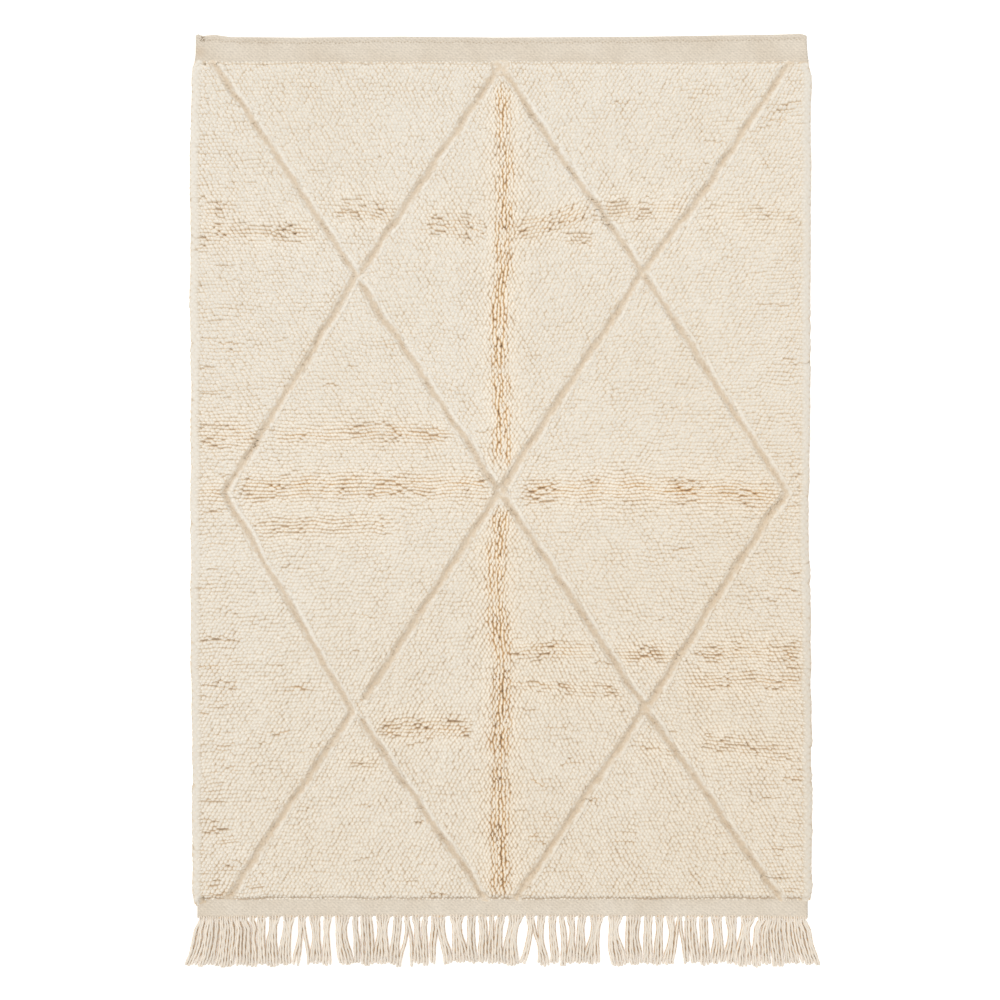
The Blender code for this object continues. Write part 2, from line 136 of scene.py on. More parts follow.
BAND_PITCH = 0.0092
BAND_STEP = 0.006
BAND_TAPER = 0.050
MEANDER = 0.0042
MEANDER_LENGTH = 0.032
BREAK_LENGTH = 0.032
LINE_DEPTH = (0.65, 1.25)
LINE_FALL = 0.80
MOST_OPEN = 0.95

# Faint short gaps between rows of knots, all over the pile and more along the side edges.
STRAY_COUNT = 150
STRAY_LENGTH = (0.020, 0.070)
STRAY_STRENGTH = (0.06, 0.22)
STRAY_WAVE = 0.0016
STRAY_TAPER = 0.015
MARGIN_WIDTH = 0.150
MARGIN_COUNT = 200
GAP_SEED = 17

# A gap's half width where it is fully open, how far from it a tuft's middle keeps, and how far the
# gap's painted shade reaches onto the tufts.
GAP_HALF = 0.0009
GAP_STAND = 0.0052
GAP_SHADE_REACH = 0.0024
TRIM_REACH = 0.015
LEAST_OPEN = 0.06
FOOT_OVERLAP = (0.0055, 0.0012)

# What differs in the bands of gaps, and towards the lower end from where the pile lies rougher.
# Both tints are painted shade on the tufts' feet.
BAND_FOOT_SHADE = 0.34
BAND_LONGER = 0.9
BAND_DIP = 0.0032
BAND_DIP_REACH = 0.026
LOW_START_Y = 0.30
LOW_FOOT_SHADE = 0.20
LOW_DEEPER = 0.18

# Tufts stand in staggered rows.
COLUMN_PITCH = 0.0106
ROW_PITCH = 0.0095
ROW_HALF = 0.90
TUFT_JITTER = 0.0012
TUFT_DRIFT = 0.003
TUFT_DRIFT_SCALE = 7.0
WOBBLE = 0.006
WOBBLE_SCALE = 16.0
TUFT_RADIUS = 0.0049
TUFT_LONGER = 1.32
TUFT_CAP = 0.0032
SKIRT_RADIUS = 0.0105
SKIRT_Z = 0.0128
SKIRT_DROP = 0.0048
SHOULDER_LEAST_Z = 0.0012
SHOULDER_ABOVE_FOOT = 0.0005
CAP_TURN = math.radians(27)
SMOOTH_TURN = math.radians(5)
TUFT_LEAN = 0.001
TUFT_LAY = 0.0018
LAY_REACH = 0.55
LAY_RANDOM = 0.35
TUFT_UNEVEN = 0.0002
TUFT_SIDES = 6
TUFT_SEED = 4
TUFT_FOOT_Z = 0.0034
RIM_FOOT_Z = 0.0006
RIM_SPILL = 0.0004
SIDE_INSET = 0.0075
SIDE_LEAN = 0.0036
END_INSET = 0.004
END_LEAN = 0.0018
SPECK_SHARE = 0.0008

# For a tuft's foot, shoulder and tip: how high it lies, and how much painted shade (foot) or
# painted highlight (shoulder, tip) its tone can take.
TUFT_PARTS = (TUFT_SIDES, TUFT_SIDES, 1)
TUFT_RISE = np.repeat((0.0, 0.72, 1.0), TUFT_PARTS)
TUFT_PAINTED_CONTRAST = np.repeat((-0.55, 0.06, 0.60), TUFT_PARTS)

# Sunken lines of low pile, and the smooth pile beside them, wider on their right side.
# The two half widths are those of the painted shade along the grooves.
GROOVE_HALF_RISING = 0.0099
GROOVE_HALF_FALLING = 0.0078
GROOVE_LOW = 0.38
GROOVE_FOOT = 0.0038
GROOVE_ROUND_LEFT = 0.010
GROOVE_ROUND_RIGHT = 0.012
GROOVE_LEAN = 0.0006
SMOOTH_LEFT = (0.007, 0.0115)
SMOOTH_RIGHT = (0.0095, 0.018)
SMOOTH_SIDE = (0.015, 0.025)
SMOOTH_CAP = 0.0008
SMOOTH_RADIUS = 0.0094
SMOOTH_SINK = 0.0005
SLOPE_STEP = 0.0015
STEEPEST = 1.1

# Long soft unevenness of the pile.
LUMP_HEIGHT = 0.0016
LUMP_SCALE = 11.0

# The ground cloth. Its rows lie closer where it shows than where the pile covers it.
GROUND_COLUMNS = 214
GROUND_INSET = 0.005
GROUND_TUCK = 0.010
LOWER_ROWS = 0.055
COVERED_ROWS = 0.013
UPPER_ROWS = 0.04125
HEM_FOLD_DEPTH = 0.014
HEM_FOLD_EASE = 0.0085
SEAM_HALF = 0.0022
RIM_ROUND = 0.003
RIM_START = 0.0006
SEAM_SUNK = 0.0002
GROUND_UNEVEN = 0.0003
GROUND_SCALE = 24.0
GROUND_FOOT_Z = 0.0002

# Hem stitches.
STITCH_PITCH = 0.0082
STITCH_LENGTH = 0.0034
STITCH_RADIUS = 0.0012
STITCH_MARGINS = (0.012, 0.008)
STITCH_JITTER = (0.0007, 0.0030)
STITCH_TURN = (-0.35, 0.05)
STITCH_Z = 0.0043
STITCH_SWELL = 0.0011
STITCH_TIP = 0.0006
STITCH_SIDES = 6
STITCH_RINGS = 5
STITCH_SEED = 3

# The fringe.
STRAND_COUNT = 180
STRAND_SPACING = 0.0072
STRAND_ROWS = (0.022, 0.048, 0.076, 0.104)
STRAND_REACH = 0.1336
STRAND_SHORTEST = 0.116
STRAND_HALF = 0.0032
LONGEST_STRAND = 62
TIP_STEP = 0.007
TIP_SCALLOP = 0.008
ROOT_CLOSING = 0.84
BUNCH_SIZES = (2, 3, 3, 4, 5)
BUNCH_SWAY = 0.010
BUNCH_LEAN = 0.012
FAN_START_X = 0.68
FAN_SPREAD = 0.046
CORNER_STRANDS = 0.11
CORNER_WIDTH = 0.125
FRINGE_SEED = 8
STRIP_DEPTH = 0.008
PLY_RADIUS = 0.0035
PLY_OFFSET = 0.0005
YARN_TWIST = 0.050
YARN_STEP = 0.0034
YARN_SIDES = 8
YARN_ROOT = 0.004
YARN_SWAY = 0.0034
YARN_SWAY_LENGTH = 0.050
YARN_LIFT = 0.0026
YARN_END = 0.0042
YARN_LAST_PLACES = (0.0018, 0.0005)
YARN_CAPS = (0.0010, 0.0005)
YARN_FREE = 0.025
YARN_SETTLE = 0.02
YARN_RIPPLE = 0.0005
YARN_RIPPLE_LENGTH = 0.016
YARN_LIFT_LENGTH = 0.055
YARN_CLEAR = 0.0001
YARN_TUCK = 0.0006
YARN_NARROW = 0.004
PINCH = (0.10, 0.50)
PINCH_START = 0.026
PINCH_END = (0.030, 0.110)
GATHER_SIZES = (8, 12, 16, 20, 26)
GATHER_PITCH = 0.0087
GATHER_SWAY = 0.004
# A flat tan strip under each yarn, painted shade between the yarns.
SHADE_STRIP_HALF = 0.0046
SHADE_STRIP_THICK = 0.0012
SHADE_STRIP_SINK = 0.0006
SHADE_STRIP_START = 0.003
SHADE_STRIP_END = 0.007
KNOT_HALF_LENGTH = 0.003
KNOT_RADIUS = 0.0024
KNOT_Z = 0.0024
KNOT_BELOW = 0.001
KNOT_JITTER = 0.0008
YARN_LEAST_Z = 0.0003

# The studio: a white floor, a soft light from the upper left and light from all round.
FLOOR_SIZE = 30.0
FLOOR_GLOW = 0.22
KEY_TURN = math.radians(135)
KEY_HEIGHT = math.radians(60)
KEY_STRENGTH = 1.12
KEY_SPREAD = math.radians(28)
LIGHT_COLOUR = (1.0, 0.99, 0.97)
SKY_COLOUR = (1.0, 0.995, 0.985, 1.0)
SKY_STRENGTH = 0.95
LENS = 50.0
SENSOR = 36.0
VIEW_WIDTH = 2.742
VIEW_MIDDLE = (-0.0082, 0.0014)


def evenly(low, high, spacing):
    return np.linspace(low, high, max(2, round(abs(high - low) / spacing) + 1))


def left_edge(y):
    return np.interp(-y, -EDGE_Y, LEFT_X)


def right_edge(y):
    return np.interp(-y, -EDGE_Y, RIGHT_X)


def upper_edge(x):
    return np.interp(x, UPPER_X, UPPER_Y)


def lower_edge(x):
    return np.interp(x, LOWER_X, LOWER_Y)


def rounded(share):
    """0 to 1 along a quarter of a circle."""
    share = np.clip(share, 0.0, 1.0)
    return np.sqrt(1.0 - (1.0 - share) ** 2)


def eased(share):
    share = np.clip(share, 0.0, 1.0)
    return share * share * (3.0 - 2.0 * share)


def pile_lower_edge(x):
    """The pile's lower end, which reaches down over the flat weave at the left corner."""
    return PILE_LOWER_Y - CORNER_DROP * eased((CORNER_X - x) / CORNER_EASE)


def insets(points):
    """How far inside the pile points in plan are, from its side edges and from its ends."""
    x, y = points.T
    side = np.minimum(x - left_edge(y), right_edge(y) - x)
    return side, np.minimum(PILE_UPPER_Y - y, y - pile_lower_edge(x))


def waves(points, scale, seed):
    """Smooth unevenness from -1 to 1 at points in plan."""
    return np.array([noise.noise(Vector((x * scale, y * scale, seed))) for x, y in points])


def ripple(places, length, seed):
    """Smooth unevenness from -1 to 1 along a line."""
    return np.array([noise.noise(Vector((place / length, seed * 7.31, 2.5))) for place in places])


def unit(vectors):
    return vectors / np.maximum(np.linalg.norm(vectors, axis=-1, keepdims=True), 1e-9)


def offset_from_run(points, start, end):
    """For each point, the vector in plan to it from the nearest place of a straight run."""
    run = end - start
    shares = np.clip((points - start) @ run / (run @ run), 0.0, 1.0)
    return points - (start + np.outer(shares, run))


def from_grooves(points):
    """For each point: the vector to it from the nearest groove's middle, and that one's number."""
    offsets = np.array([offset_from_run(points, *run) for run in RUNS])
    nearest = np.argmin(np.linalg.norm(offsets, axis=2), axis=0)
    return offsets[nearest, np.arange(len(points))], nearest


def in_openings(points):
    """1 inside any of the low round places, falling to 0 across their rim."""
    shares = []
    for *middle, radius in OPENINGS:
        reach = np.linalg.norm(points - middle, axis=-1)
        shares.append(eased((radius + OPENING_RIM / 2 - reach) / OPENING_RIM))
    return np.max(shares, axis=0)


def band_path(band, spacing):
    start = np.array((band.start_x, band.start_y)) / 1000
    end = np.array((band.end_x, band.end_y)) / 1000
    length = np.linalg.norm(end - start)
    along = (end - start) / length
    sideways = np.array((-along[1], along[0]))
    shares = evenly(0.0, 1.0, spacing / length)
    bow = band.sag / 1000 * np.sin(math.pi * shares)
    return start + np.outer(shares, end - start) + np.outer(bow, sideways), sideways, length


def band_cuts():
    rng = random.Random(GAP_SEED + 1)
    for number, band in enumerate(BANDS):
        path, sideways, length = band_path(band, BAND_STEP)
        places = np.linspace(0.0, length, len(path))
        taper = np.minimum(1.0, np.minimum(places, length - places) / BAND_TAPER + 0.1)
        shared = ripple(places, MEANDER_LENGTH * 2, number)
        calm = min(1.0, 0.25 + band.strength)
        for line in range(band.lines):
            seed = number * 20 + line + 100
            across = (line - (band.lines - 1) / 2) * BAND_PITCH
            own = ripple(places, MEANDER_LENGTH, seed)
            wander = across + MEANDER * (calm * own + 1.2 * shared)
            aside = abs(across) / (BAND_PITCH * max(band.lines, 2) / 2)
            depth = rng.uniform(*LINE_DEPTH) * (1.0 - LINE_FALL * aside ** 1.5)
            breaks = np.clip(0.74 + 1.3 * ripple(places, BREAK_LENGTH, seed + 0.5), 0.0, 1.1)
            opened = np.minimum(band.strength * depth * breaks * taper, MOST_OPEN)
            yield Cut(path + np.outer(wander, sideways), opened)


def stray_cuts():
    rng = random.Random(GAP_SEED)
    for stray in range(STRAY_COUNT + MARGIN_COUNT):
        length = rng.uniform(*STRAY_LENGTH)
        y = PILE_LOWER_Y + (PILE_UPPER_Y - PILE_LOWER_Y) * rng.random() ** 1.4
        if stray < STRAY_COUNT:
            x = rng.uniform(left_edge(y), right_edge(y) - length)
        elif stray % 3:
            x = left_edge(y) + rng.uniform(0.0, MARGIN_WIDTH - length)
        else:
            x = right_edge(y) - length - rng.uniform(0.0, MARGIN_WIDTH - length)
        places = evenly(0.0, length, BAND_STEP)
        rise = STRAY_WAVE * ripple(places, MEANDER_LENGTH, stray + 900)
        slope = rng.uniform(-0.06, 0.06) * places
        strength = rng.uniform(*STRAY_STRENGTH)
        taper = np.minimum(1.0, np.minimum(places, length - places) / STRAY_TAPER + 0.2)
        yield Cut(np.column_stack((x + places, y + rise + slope)), strength * taper)


def nearest_on_path(points, path):
    """For each point: its signed distance from a path, its distance, the place on it, its side."""
    starts, runs = path[:-1], path[1:] - path[:-1]
    lengths = np.linalg.norm(runs, axis=1)
    apart = points[:, None, :] - starts
    shares = np.clip(np.einsum("psk,sk->ps", apart, runs) / lengths ** 2, 0.0, 1.0)
    offsets = apart - shares[:, :, None] * runs
    reach = np.linalg.norm(offsets, axis=2)
    stretch = np.argmin(reach, axis=1)
    index = np.arange(len(points))
    run = runs[stretch] / lengths[stretch, None]
    sideways = np.column_stack((-run[:, 1], run[:, 0]))
    signed = np.einsum("pk,pk->p", offsets[index, stretch], sideways)
    return signed, reach[index, stretch], stretch + shares[index, stretch], sideways


def near_path(points, path):
    """The points within reach of a path."""
    low, high = path.min(axis=0) - TRIM_REACH, path.max(axis=0) + TRIM_REACH
    near = np.flatnonzero(np.all((points > low) & (points < high), axis=1))
    start, end = path[0], path[-1]
    bow = np.max(np.linalg.norm(offset_from_run(path, start, end), axis=1))
    reach = np.linalg.norm(offset_from_run(points[near], start, end), axis=1)
    return near[reach < TRIM_REACH + bow]


def stand_clear(middles, cuts):
    """Moves the tufts that stand too near a cut away from it."""
    for cut in cuts:
        near = near_path(middles, cut.path)
        signed, reach, place, sideways = nearest_on_path(middles[near], cut.path)
        opened = np.interp(place, np.arange(len(cut.path)), cut.opened)
        side = np.where(signed < 0.0, -1.0, 1.0)
        move = np.where(opened > LEAST_OPEN, np.maximum(GAP_STAND * opened - reach, 0.0), 0.0)
        middles[near] += sideways * (side * move)[:, None]


def trim(rings, middles, cuts):
    """Keeps every point on its tuft's side of each cut. Returns how open it is beside each, which
    weights the gaps' painted shade.
    """
    opened_at = np.zeros(rings.shape[:2])
    per_tuft = rings.shape[1]
    for cut in cuts:
        near = near_path(middles, cut.path)
        signed, reach, _, _ = nearest_on_path(middles[near], cut.path)
        near, signed = near[reach < TRIM_REACH], signed[reach < TRIM_REACH]
        side = np.repeat(np.where(signed < 0.0, -1.0, 1.0), per_tuft)
        at_foot = np.tile(TUFT_RISE == 0.0, len(near))
        points = rings[near, :, :2].reshape(-1, 2)
        signed, reach, place, sideways = nearest_on_path(points, cut.path)
        steps = np.arange(len(cut.path))
        opened = np.interp(place, steps, cut.opened)
        beside = (reach - np.abs(signed) < 0.0004) & (opened > LEAST_OPEN)
        overlap = np.interp(place, steps, np.interp(cut.opened, (0.3, 1.1), FOOT_OVERLAP))
        past = signed * side - (GAP_HALF * opened - overlap * at_foot)
        move = np.where(beside, np.maximum(-past, 0.0), 0.0)
        past = np.where(at_foot, np.minimum(past, 0.0), past)
        points += sideways * (side * move)[:, None]
        rings[near, :, :2] = points.reshape(len(near), per_tuft, 2)
        fading = np.exp(-((np.maximum(past, 0.0) / GAP_SHADE_REACH) ** 2))
        share = np.where(beside, opened * fading, 0.0).reshape(len(near), per_tuft)
        opened_at[near] = np.maximum(opened_at[near], share)
    return opened_at


def band_nearness(points):
    """1 in the middle of a band of gaps, falling to 0 away from it, and the band's direction."""
    nearness = np.zeros(len(points))
    along = np.zeros((len(points), 2))
    for band in BANDS:
        if band.lines < 3:
            continue
        path, _, length = band_path(band, 0.05)
        _, reach, place, _ = nearest_on_path(points, path)
        half = band.lines * BAND_PITCH / 2 + BAND_DIP_REACH / 2
        to_end = length * np.minimum(place, len(path) - 1 - place) / (len(path) - 1)
        share = band.strength * np.exp(-((reach / half) ** 2)) * eased(to_end / BAND_TAPER + 0.15)
        along[share > nearness] = unit(path[-1] - path[0])
        nearness = np.maximum(nearness, share)
    return nearness, along


def groove_share(points):
    """0 on a groove's floor, 1 on full pile."""
    offset, _ = from_grooves(points)
    reach = np.linalg.norm(offset, axis=1)
    width = np.where(offset[:, 0] > 0.0, GROOVE_ROUND_RIGHT, GROOVE_ROUND_LEFT)
    share = GROOVE_LOW + (1.0 - GROOVE_LOW) * rounded((reach - GROOVE_FOOT) / width)
    return share * (1.0 - OPENING_SUNK * in_openings(points))


def aside_grooves(rings, middles):
    """How far each vertex is to the right of its tuft's nearest groove, in half widths of its
    painted shade.
    """
    starts, ends = RUNS[from_grooves(middles)[1]].transpose(1, 0, 2)
    lengths = np.linalg.norm(ends - starts, axis=1)[:, None]
    along = (ends - starts) / lengths
    rightwards = np.column_stack((-along[:, 1], along[:, 0])) * -np.sign(along[:, 1:])
    half = np.where(along[:, 0] * along[:, 1] > 0.0, GROOVE_HALF_RISING, GROOVE_HALF_FALLING)
    plan = rings[:, :, :2]
    across = np.einsum("ijk,ik->ij", plan - starts[:, None, :], rightwards)
    place = np.einsum("ijk,ik->ij", plan - starts[:, None, :], along)
    past = np.maximum(0.0, np.maximum(-place, place - lengths))
    aside = np.copysign(np.hypot(across, past), across) / half[:, None]
    for *middle, radius in OPENINGS:
        reach = np.linalg.norm(plan - middle, axis=-1) / radius
        aside = np.where(reach < 1.15, np.clip(np.abs(aside), 0.60, 0.95), aside)
    return aside


def side_smoothness(points):
    """1 on the smooth pile along the long edges."""
    near, far = SMOOTH_SIDE
    return eased((far - insets(points)[0]) / (far - near))


def smoothness(points):
    """1 on the smooth pile beside a groove, along the side edges and in the low places."""
    offset, _ = from_grooves(points)
    near, far = np.where(offset[:, :1] > 0.0, SMOOTH_RIGHT, SMOOTH_LEFT).T
    beside = eased((far - np.linalg.norm(offset, axis=1)) / (far - near))
    return np.max((beside, in_openings(points), side_smoothness(points)), axis=0)


def edge_share(points):
    """0 at the pile's side edges and at its ends, 1 on full pile."""
    side, end = insets(points)
    return np.column_stack((rounded(side / SIDE_ROUND), eased(end / END_ROUND + END_LEAST)))


def pile_shape(points):
    """The smooth height of the pile, without lumps."""
    side, end = edge_share(points).T
    at_side = PILE_RIM + (PILE_TOP - PILE_RIM) * side
    return WEAVE_TOP + (at_side - WEAVE_TOP) * np.minimum(groove_share(points), end)


def pile_normals(points):
    slopes = [
        (pile_shape(points + step) - pile_shape(points - step)) / (2 * SLOPE_STEP)
        for step in SLOPE_STEP * np.eye(2)
    ]
    slopes = np.clip(np.column_stack(slopes), -STEEPEST, STEEPEST)
    return unit(np.column_stack((-slopes, np.ones(len(points)))))


def at_rings(reading, rings):
    """A reading in plan, taken at every vertex of the tufts' rings."""
    values = reading(rings[:, :, :2].reshape(-1, 2))
    return values.reshape(*rings.shape[:2], *values.shape[1:])


def tuft_places():
    """The tufts' middles inside the pile, in staggered rows that drift a little."""
    rng = np.random.default_rng(TUFT_SEED)
    feet = []
    rows = np.arange(PILE_LOWER_Y - CORNER_DROP, PILE_UPPER_Y + ROW_PITCH, ROW_PITCH)
    for row, y in enumerate(rows):
        xs = np.arange(-ROW_HALF + COLUMN_PITCH / 2 * (row % 2), ROW_HALF, COLUMN_PITCH)
        feet.append(np.column_stack((xs, np.full(len(xs), y))))
    feet = np.concatenate(feet)
    drift = np.column_stack([waves(feet, TUFT_DRIFT_SCALE, seed) for seed in (1.5, 8.5)])
    feet = feet + TUFT_DRIFT * drift + rng.uniform(-TUFT_JITTER, TUFT_JITTER, feet.shape)
    side, end = insets(feet)
    return feet[(side > SIDE_INSET) & (end > END_INSET)]


def angles_round(sides):
    return np.arange(sides) * TURN / sides


def ring_spokes(normals, lay, turn, longer):
    """Spokes of each tuft's ring, square to its direction and longer along its lay."""
    side = unit(np.cross(normals, lay))
    along = np.cross(side, normals)
    angles = (turn[:, None] + angles_round(TUFT_SIDES))[:, :, None]
    stretch = np.sqrt(longer)[:, None, None]
    spokes = along[:, None, :] * np.cos(angles) * stretch
    return spokes + side[:, None, :] * np.sin(angles) / stretch


def foot_rings(middles, spokes, below):
    """The tufts' foot rings, inside the pile and below a height, and the way they face."""
    skirt = SKIRT_RADIUS * (1.0 + side_smoothness(middles))[:, None, None]
    foot = np.column_stack((middles, np.zeros(len(middles))))[:, None, :] + spokes * skirt
    x, y, z = np.moveaxis(foot, 2, 0)
    low_y = pile_lower_edge(middles[:, 0])[:, None]
    y[:] = np.clip(y, low_y - RIM_SPILL, PILE_UPPER_Y + RIM_SPILL)
    x[:] = np.clip(x, left_edge(y) - RIM_SPILL, right_edge(y) + RIM_SPILL)
    z[:] = np.clip(at_rings(pile_shape, foot) - SKIRT_DROP, RIM_FOOT_Z, SKIRT_Z)
    z[:] = np.minimum(z, below)
    side_share, end_share = np.moveaxis(at_rings(edge_share, foot), 2, 0)
    z[end_share < 0.2] = TUFT_FOOT_Z
    z[side_share < 0.3] = RIM_FOOT_Z
    inside = np.clip(1.4 * np.minimum(side_share, end_share), 0.0, 1.0)[:, :, None]
    sloping = at_rings(pile_normals, foot)
    return foot, sloping + (spokes - sloping) * inside


class Tufts:
    """Every tuft: a ring at its foot, a ring at its shoulder and a tip."""

    def __init__(self):
        rng = np.random.default_rng(TUFT_SEED + 1)
        gaps = [*band_cuts(), *stray_cuts()]
        middles = tuft_places()
        stand_clear(middles, gaps)
        count = len(middles)
        x, y = middles.T
        outward_x = eased(1.0 - (right_edge(y) - x) / SIDE_ROUND)
        outward_x -= eased(1.0 - (x - left_edge(y)) / SIDE_ROUND)
        outward_y = eased(1.0 - (PILE_UPPER_Y - y) / END_ROUND)
        outward_y -= eased(1.0 - (y - pile_lower_edge(x)) / END_ROUND)
        low = eased(LOW_START_Y - y)
        smooth = smoothness(middles)
        rough = 1.0 - smooth
        nearness, band_along = band_nearness(middles)

        # The way each tuft is brushed, and how far its tip leans from its middle.
        outwards = middles / LAY_REACH
        outwards /= np.maximum(1.0, np.linalg.norm(outwards, axis=1))[:, None]
        lay = outwards + LAY_RANDOM * rng.uniform(-1.0, 1.0, (count, 2))
        facing = np.where(np.sum(lay * band_along, axis=1) < 0.0, -1.0, 1.0)
        lay += 1.5 * (nearness * facing)[:, None] * band_along
        lay = unit(np.column_stack((lay, np.zeros(count))))
        lean = rng.uniform(-TUFT_LEAN, TUFT_LEAN, (count, 2)) + TUFT_LAY * outwards
        from_groove = unit(from_grooves(middles)[0])
        lean = lean * rough[:, None] - GROOVE_LEAN * smooth[:, None] * from_groove
        lean += np.column_stack((SIDE_LEAN * outward_x, END_LEAN * outward_y))
        tips = middles + lean

        height = pile_shape(tips)
        full = (height - WEAVE_TOP) / (PILE_TOP - WEAVE_TOP)
        lumps = LUMP_HEIGHT * waves(tips, LUMP_SCALE, 0.0) - BAND_DIP * nearness
        uneven = rng.uniform(-TUFT_UNEVEN, TUFT_UNEVEN, count) * (1.0 - 0.7 * smooth)
        height += (lumps + uneven) * full
        normals = pile_normals(tips)
        normals[:, :2] += rng.uniform(-0.08, 0.08, (count, 2)) * rough[:, None]
        normals = unit(normals)

        radius = TUFT_RADIUS * rng.uniform(0.93, 1.07, count) * rough + SMOOTH_RADIUS * smooth
        cap = TUFT_CAP * rng.uniform(0.85, 1.15, count)
        cap *= 1.0 + 0.25 * nearness + LOW_DEEPER * low
        cap = cap * rough + SMOOTH_CAP * smooth
        longer = 1.0 + (TUFT_LONGER - 1.0) * rough * (0.4 + 0.6 * np.linalg.norm(outwards, axis=1))
        longer += BAND_LONGER * nearness
        turn = rng.uniform(0.0, TURN, count)
        spokes = ring_spokes(normals, lay, turn, longer)
        foot_spokes = ring_spokes(np.tile(UP, (count, 1)), lay, turn, longer)
        tips = np.column_stack((tips, height))
        neck = tips - normals * cap[:, None]
        shoulder = neck[:, None, :] + spokes * radius[:, None, None]
        z = shoulder[:, :, 2]
        surface = at_rings(pile_shape, shoulder) - SMOOTH_SINK + (lumps * full)[:, None]
        z[:] = np.maximum(z + (surface - z) * smooth[:, None], SHOULDER_LEAST_Z)
        foot, outward = foot_rings(middles, foot_spokes, z - SHOULDER_ABOVE_FOOT)

        self.middles = middles
        self.rings = np.concatenate((foot, shoulder, tips[:, None, :]), axis=1)
        # How open the gaps are beside each vertex weights their painted shade.
        opened = trim(self.rings, middles, gaps)
        # More painted shade on the tufts' feet in the bands and towards the lower end, and little
        # on the smooth pile.
        opened[:, :TUFT_SIDES] += (BAND_FOOT_SHADE * nearness + LOW_FOOT_SHADE * low)[:, None]
        opened *= 1.0 - 0.85 * smooth[:, None]
        aside = aside_grooves(self.rings, middles)
        wobble = np.column_stack([waves(middles, WOBBLE_SCALE, seed) for seed in (3.5, 6.5)])
        still = (1.0 - np.abs(outward_x)) * (1.0 - np.abs(outward_y))
        self.rings[:, :, :2] += (WOBBLE * still[:, None] * wobble)[:, None, :]
        angle = (CAP_TURN * rough + SMOOTH_TURN * smooth)[:, None, None]
        turned = normals[:, None, :] * np.cos(angle) + spokes * np.sin(angle)
        turned += (at_rings(pile_normals, shoulder) - turned) * smooth[:, None, None]
        self.directions = unit(np.concatenate((outward, turned, normals[:, None, :]), axis=1))

        # Tone that differs at random, lighter in the bands, and darker along the smooth side strips
        # and towards the lower end.
        tone = rng.uniform(0.28, 0.42, count) * rough + 0.30 * smooth + 0.20 * nearness * rough
        tone -= 0.20 * side_smoothness(middles) + 0.11 * low
        # Painted light on the tufts at the pile's lower end, against the shade of its edge.
        tone += 0.28 * np.maximum(-outward_y, 0.0)
        # Painted highlights on the tufts' tips and painted shade at their feet, in the bands and
        # towards the lower end.
        painted_contrast = np.minimum(1.0, 0.55 * low + 0.9 * np.sqrt(nearness)) * rough
        # Warm painted shade low on the tufts, in the bands and towards the lower end.
        deep_shade = np.sqrt(nearness) * (1.0 - 0.5 * smooth) + 0.25 * low
        speck = (rng.uniform(0.0, 1.0, count) < SPECK_SHARE) * (smooth < 0.5)
        self.values = {
            "rise": np.tile(TUFT_RISE, (count, 1)),
            "opened": opened,
            "tone": tone[:, None] + np.outer(painted_contrast, TUFT_PAINTED_CONTRAST),
            "aside": aside,
            "deep_shade": deep_shade[:, None],
            "speck": speck[:, None],
        }

    def mesh(self, name, picked):
        """The picked tufts as one mesh, with a cell of its own in the map for each."""
        this = np.arange(TUFT_SIDES)
        after = (this + 1) % TUFT_SIDES
        above, above_after = this + TUFT_SIDES, after + TUFT_SIDES
        tip = np.full(TUFT_SIDES, 2 * TUFT_SIDES)
        faces = triangles(
            (this, after, above_after), (this, above_after, above), (above, above_after, tip)
        )
        index = np.arange(len(picked))
        faces = faces + index[:, None, None] * len(TUFT_RISE)
        made = new_mesh(name, self.rings[picked].reshape(-1, 3), faces.reshape(-1, 3))
        made.normals_split_custom_set_from_vertices(self.directions[picked].reshape(-1, 3))
        for key, values in self.values.items():
            add_values(made, key, np.broadcast_to(values[picked], (len(picked), len(TUFT_RISE))))
        angles = angles_round(TUFT_SIDES)
        circle = np.column_stack((np.cos(angles), np.sin(angles)))
        local = np.concatenate((circle * 0.46, circle * 0.30, [(0.0, 0.0)]))
        across = math.ceil(math.sqrt(len(picked)))
        cells = np.column_stack((index % across, index // across)) + 0.5
        add_map(made, ((cells[:, None, :] + local) / across).reshape(-1, 2))
        return made


def triangles(*corners):
    """Triangles from sets of three arrays, one for each of their corners."""
    return np.concatenate([np.column_stack(three) for three in corners])


def new_mesh(name, points, faces):
    mesh = bpy.data.meshes.new(name)
    mesh.from_pydata(points.tolist(), [], faces.tolist())
    mesh.validate()
    mesh.shade_smooth()
    return mesh


def add_values(mesh, name, values):
    layer = mesh.attributes.new(name, "FLOAT", "POINT")
    layer.data.foreach_set("value", values.astype(np.float32).ravel())


def add_map(mesh, places):
    """A UV map from one place for each vertex."""
    layer = mesh.uv_layers.new(name="OFBake")
    corners = np.empty(len(mesh.loops), dtype=np.int32)
    mesh.loops.foreach_get("vertex_index", corners)
    layer.data.foreach_set("uv", places[corners].astype(np.float32).ravel())


def add_object(name, data):
    made = bpy.data.objects.new(name, data)
    bpy.context.scene.collection.objects.link(made)
    return made


def add_piece(name, mesh, material):
    mesh.materials.append(material)
    piece = add_object(name, mesh)
    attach(piece, BODY)
    return piece


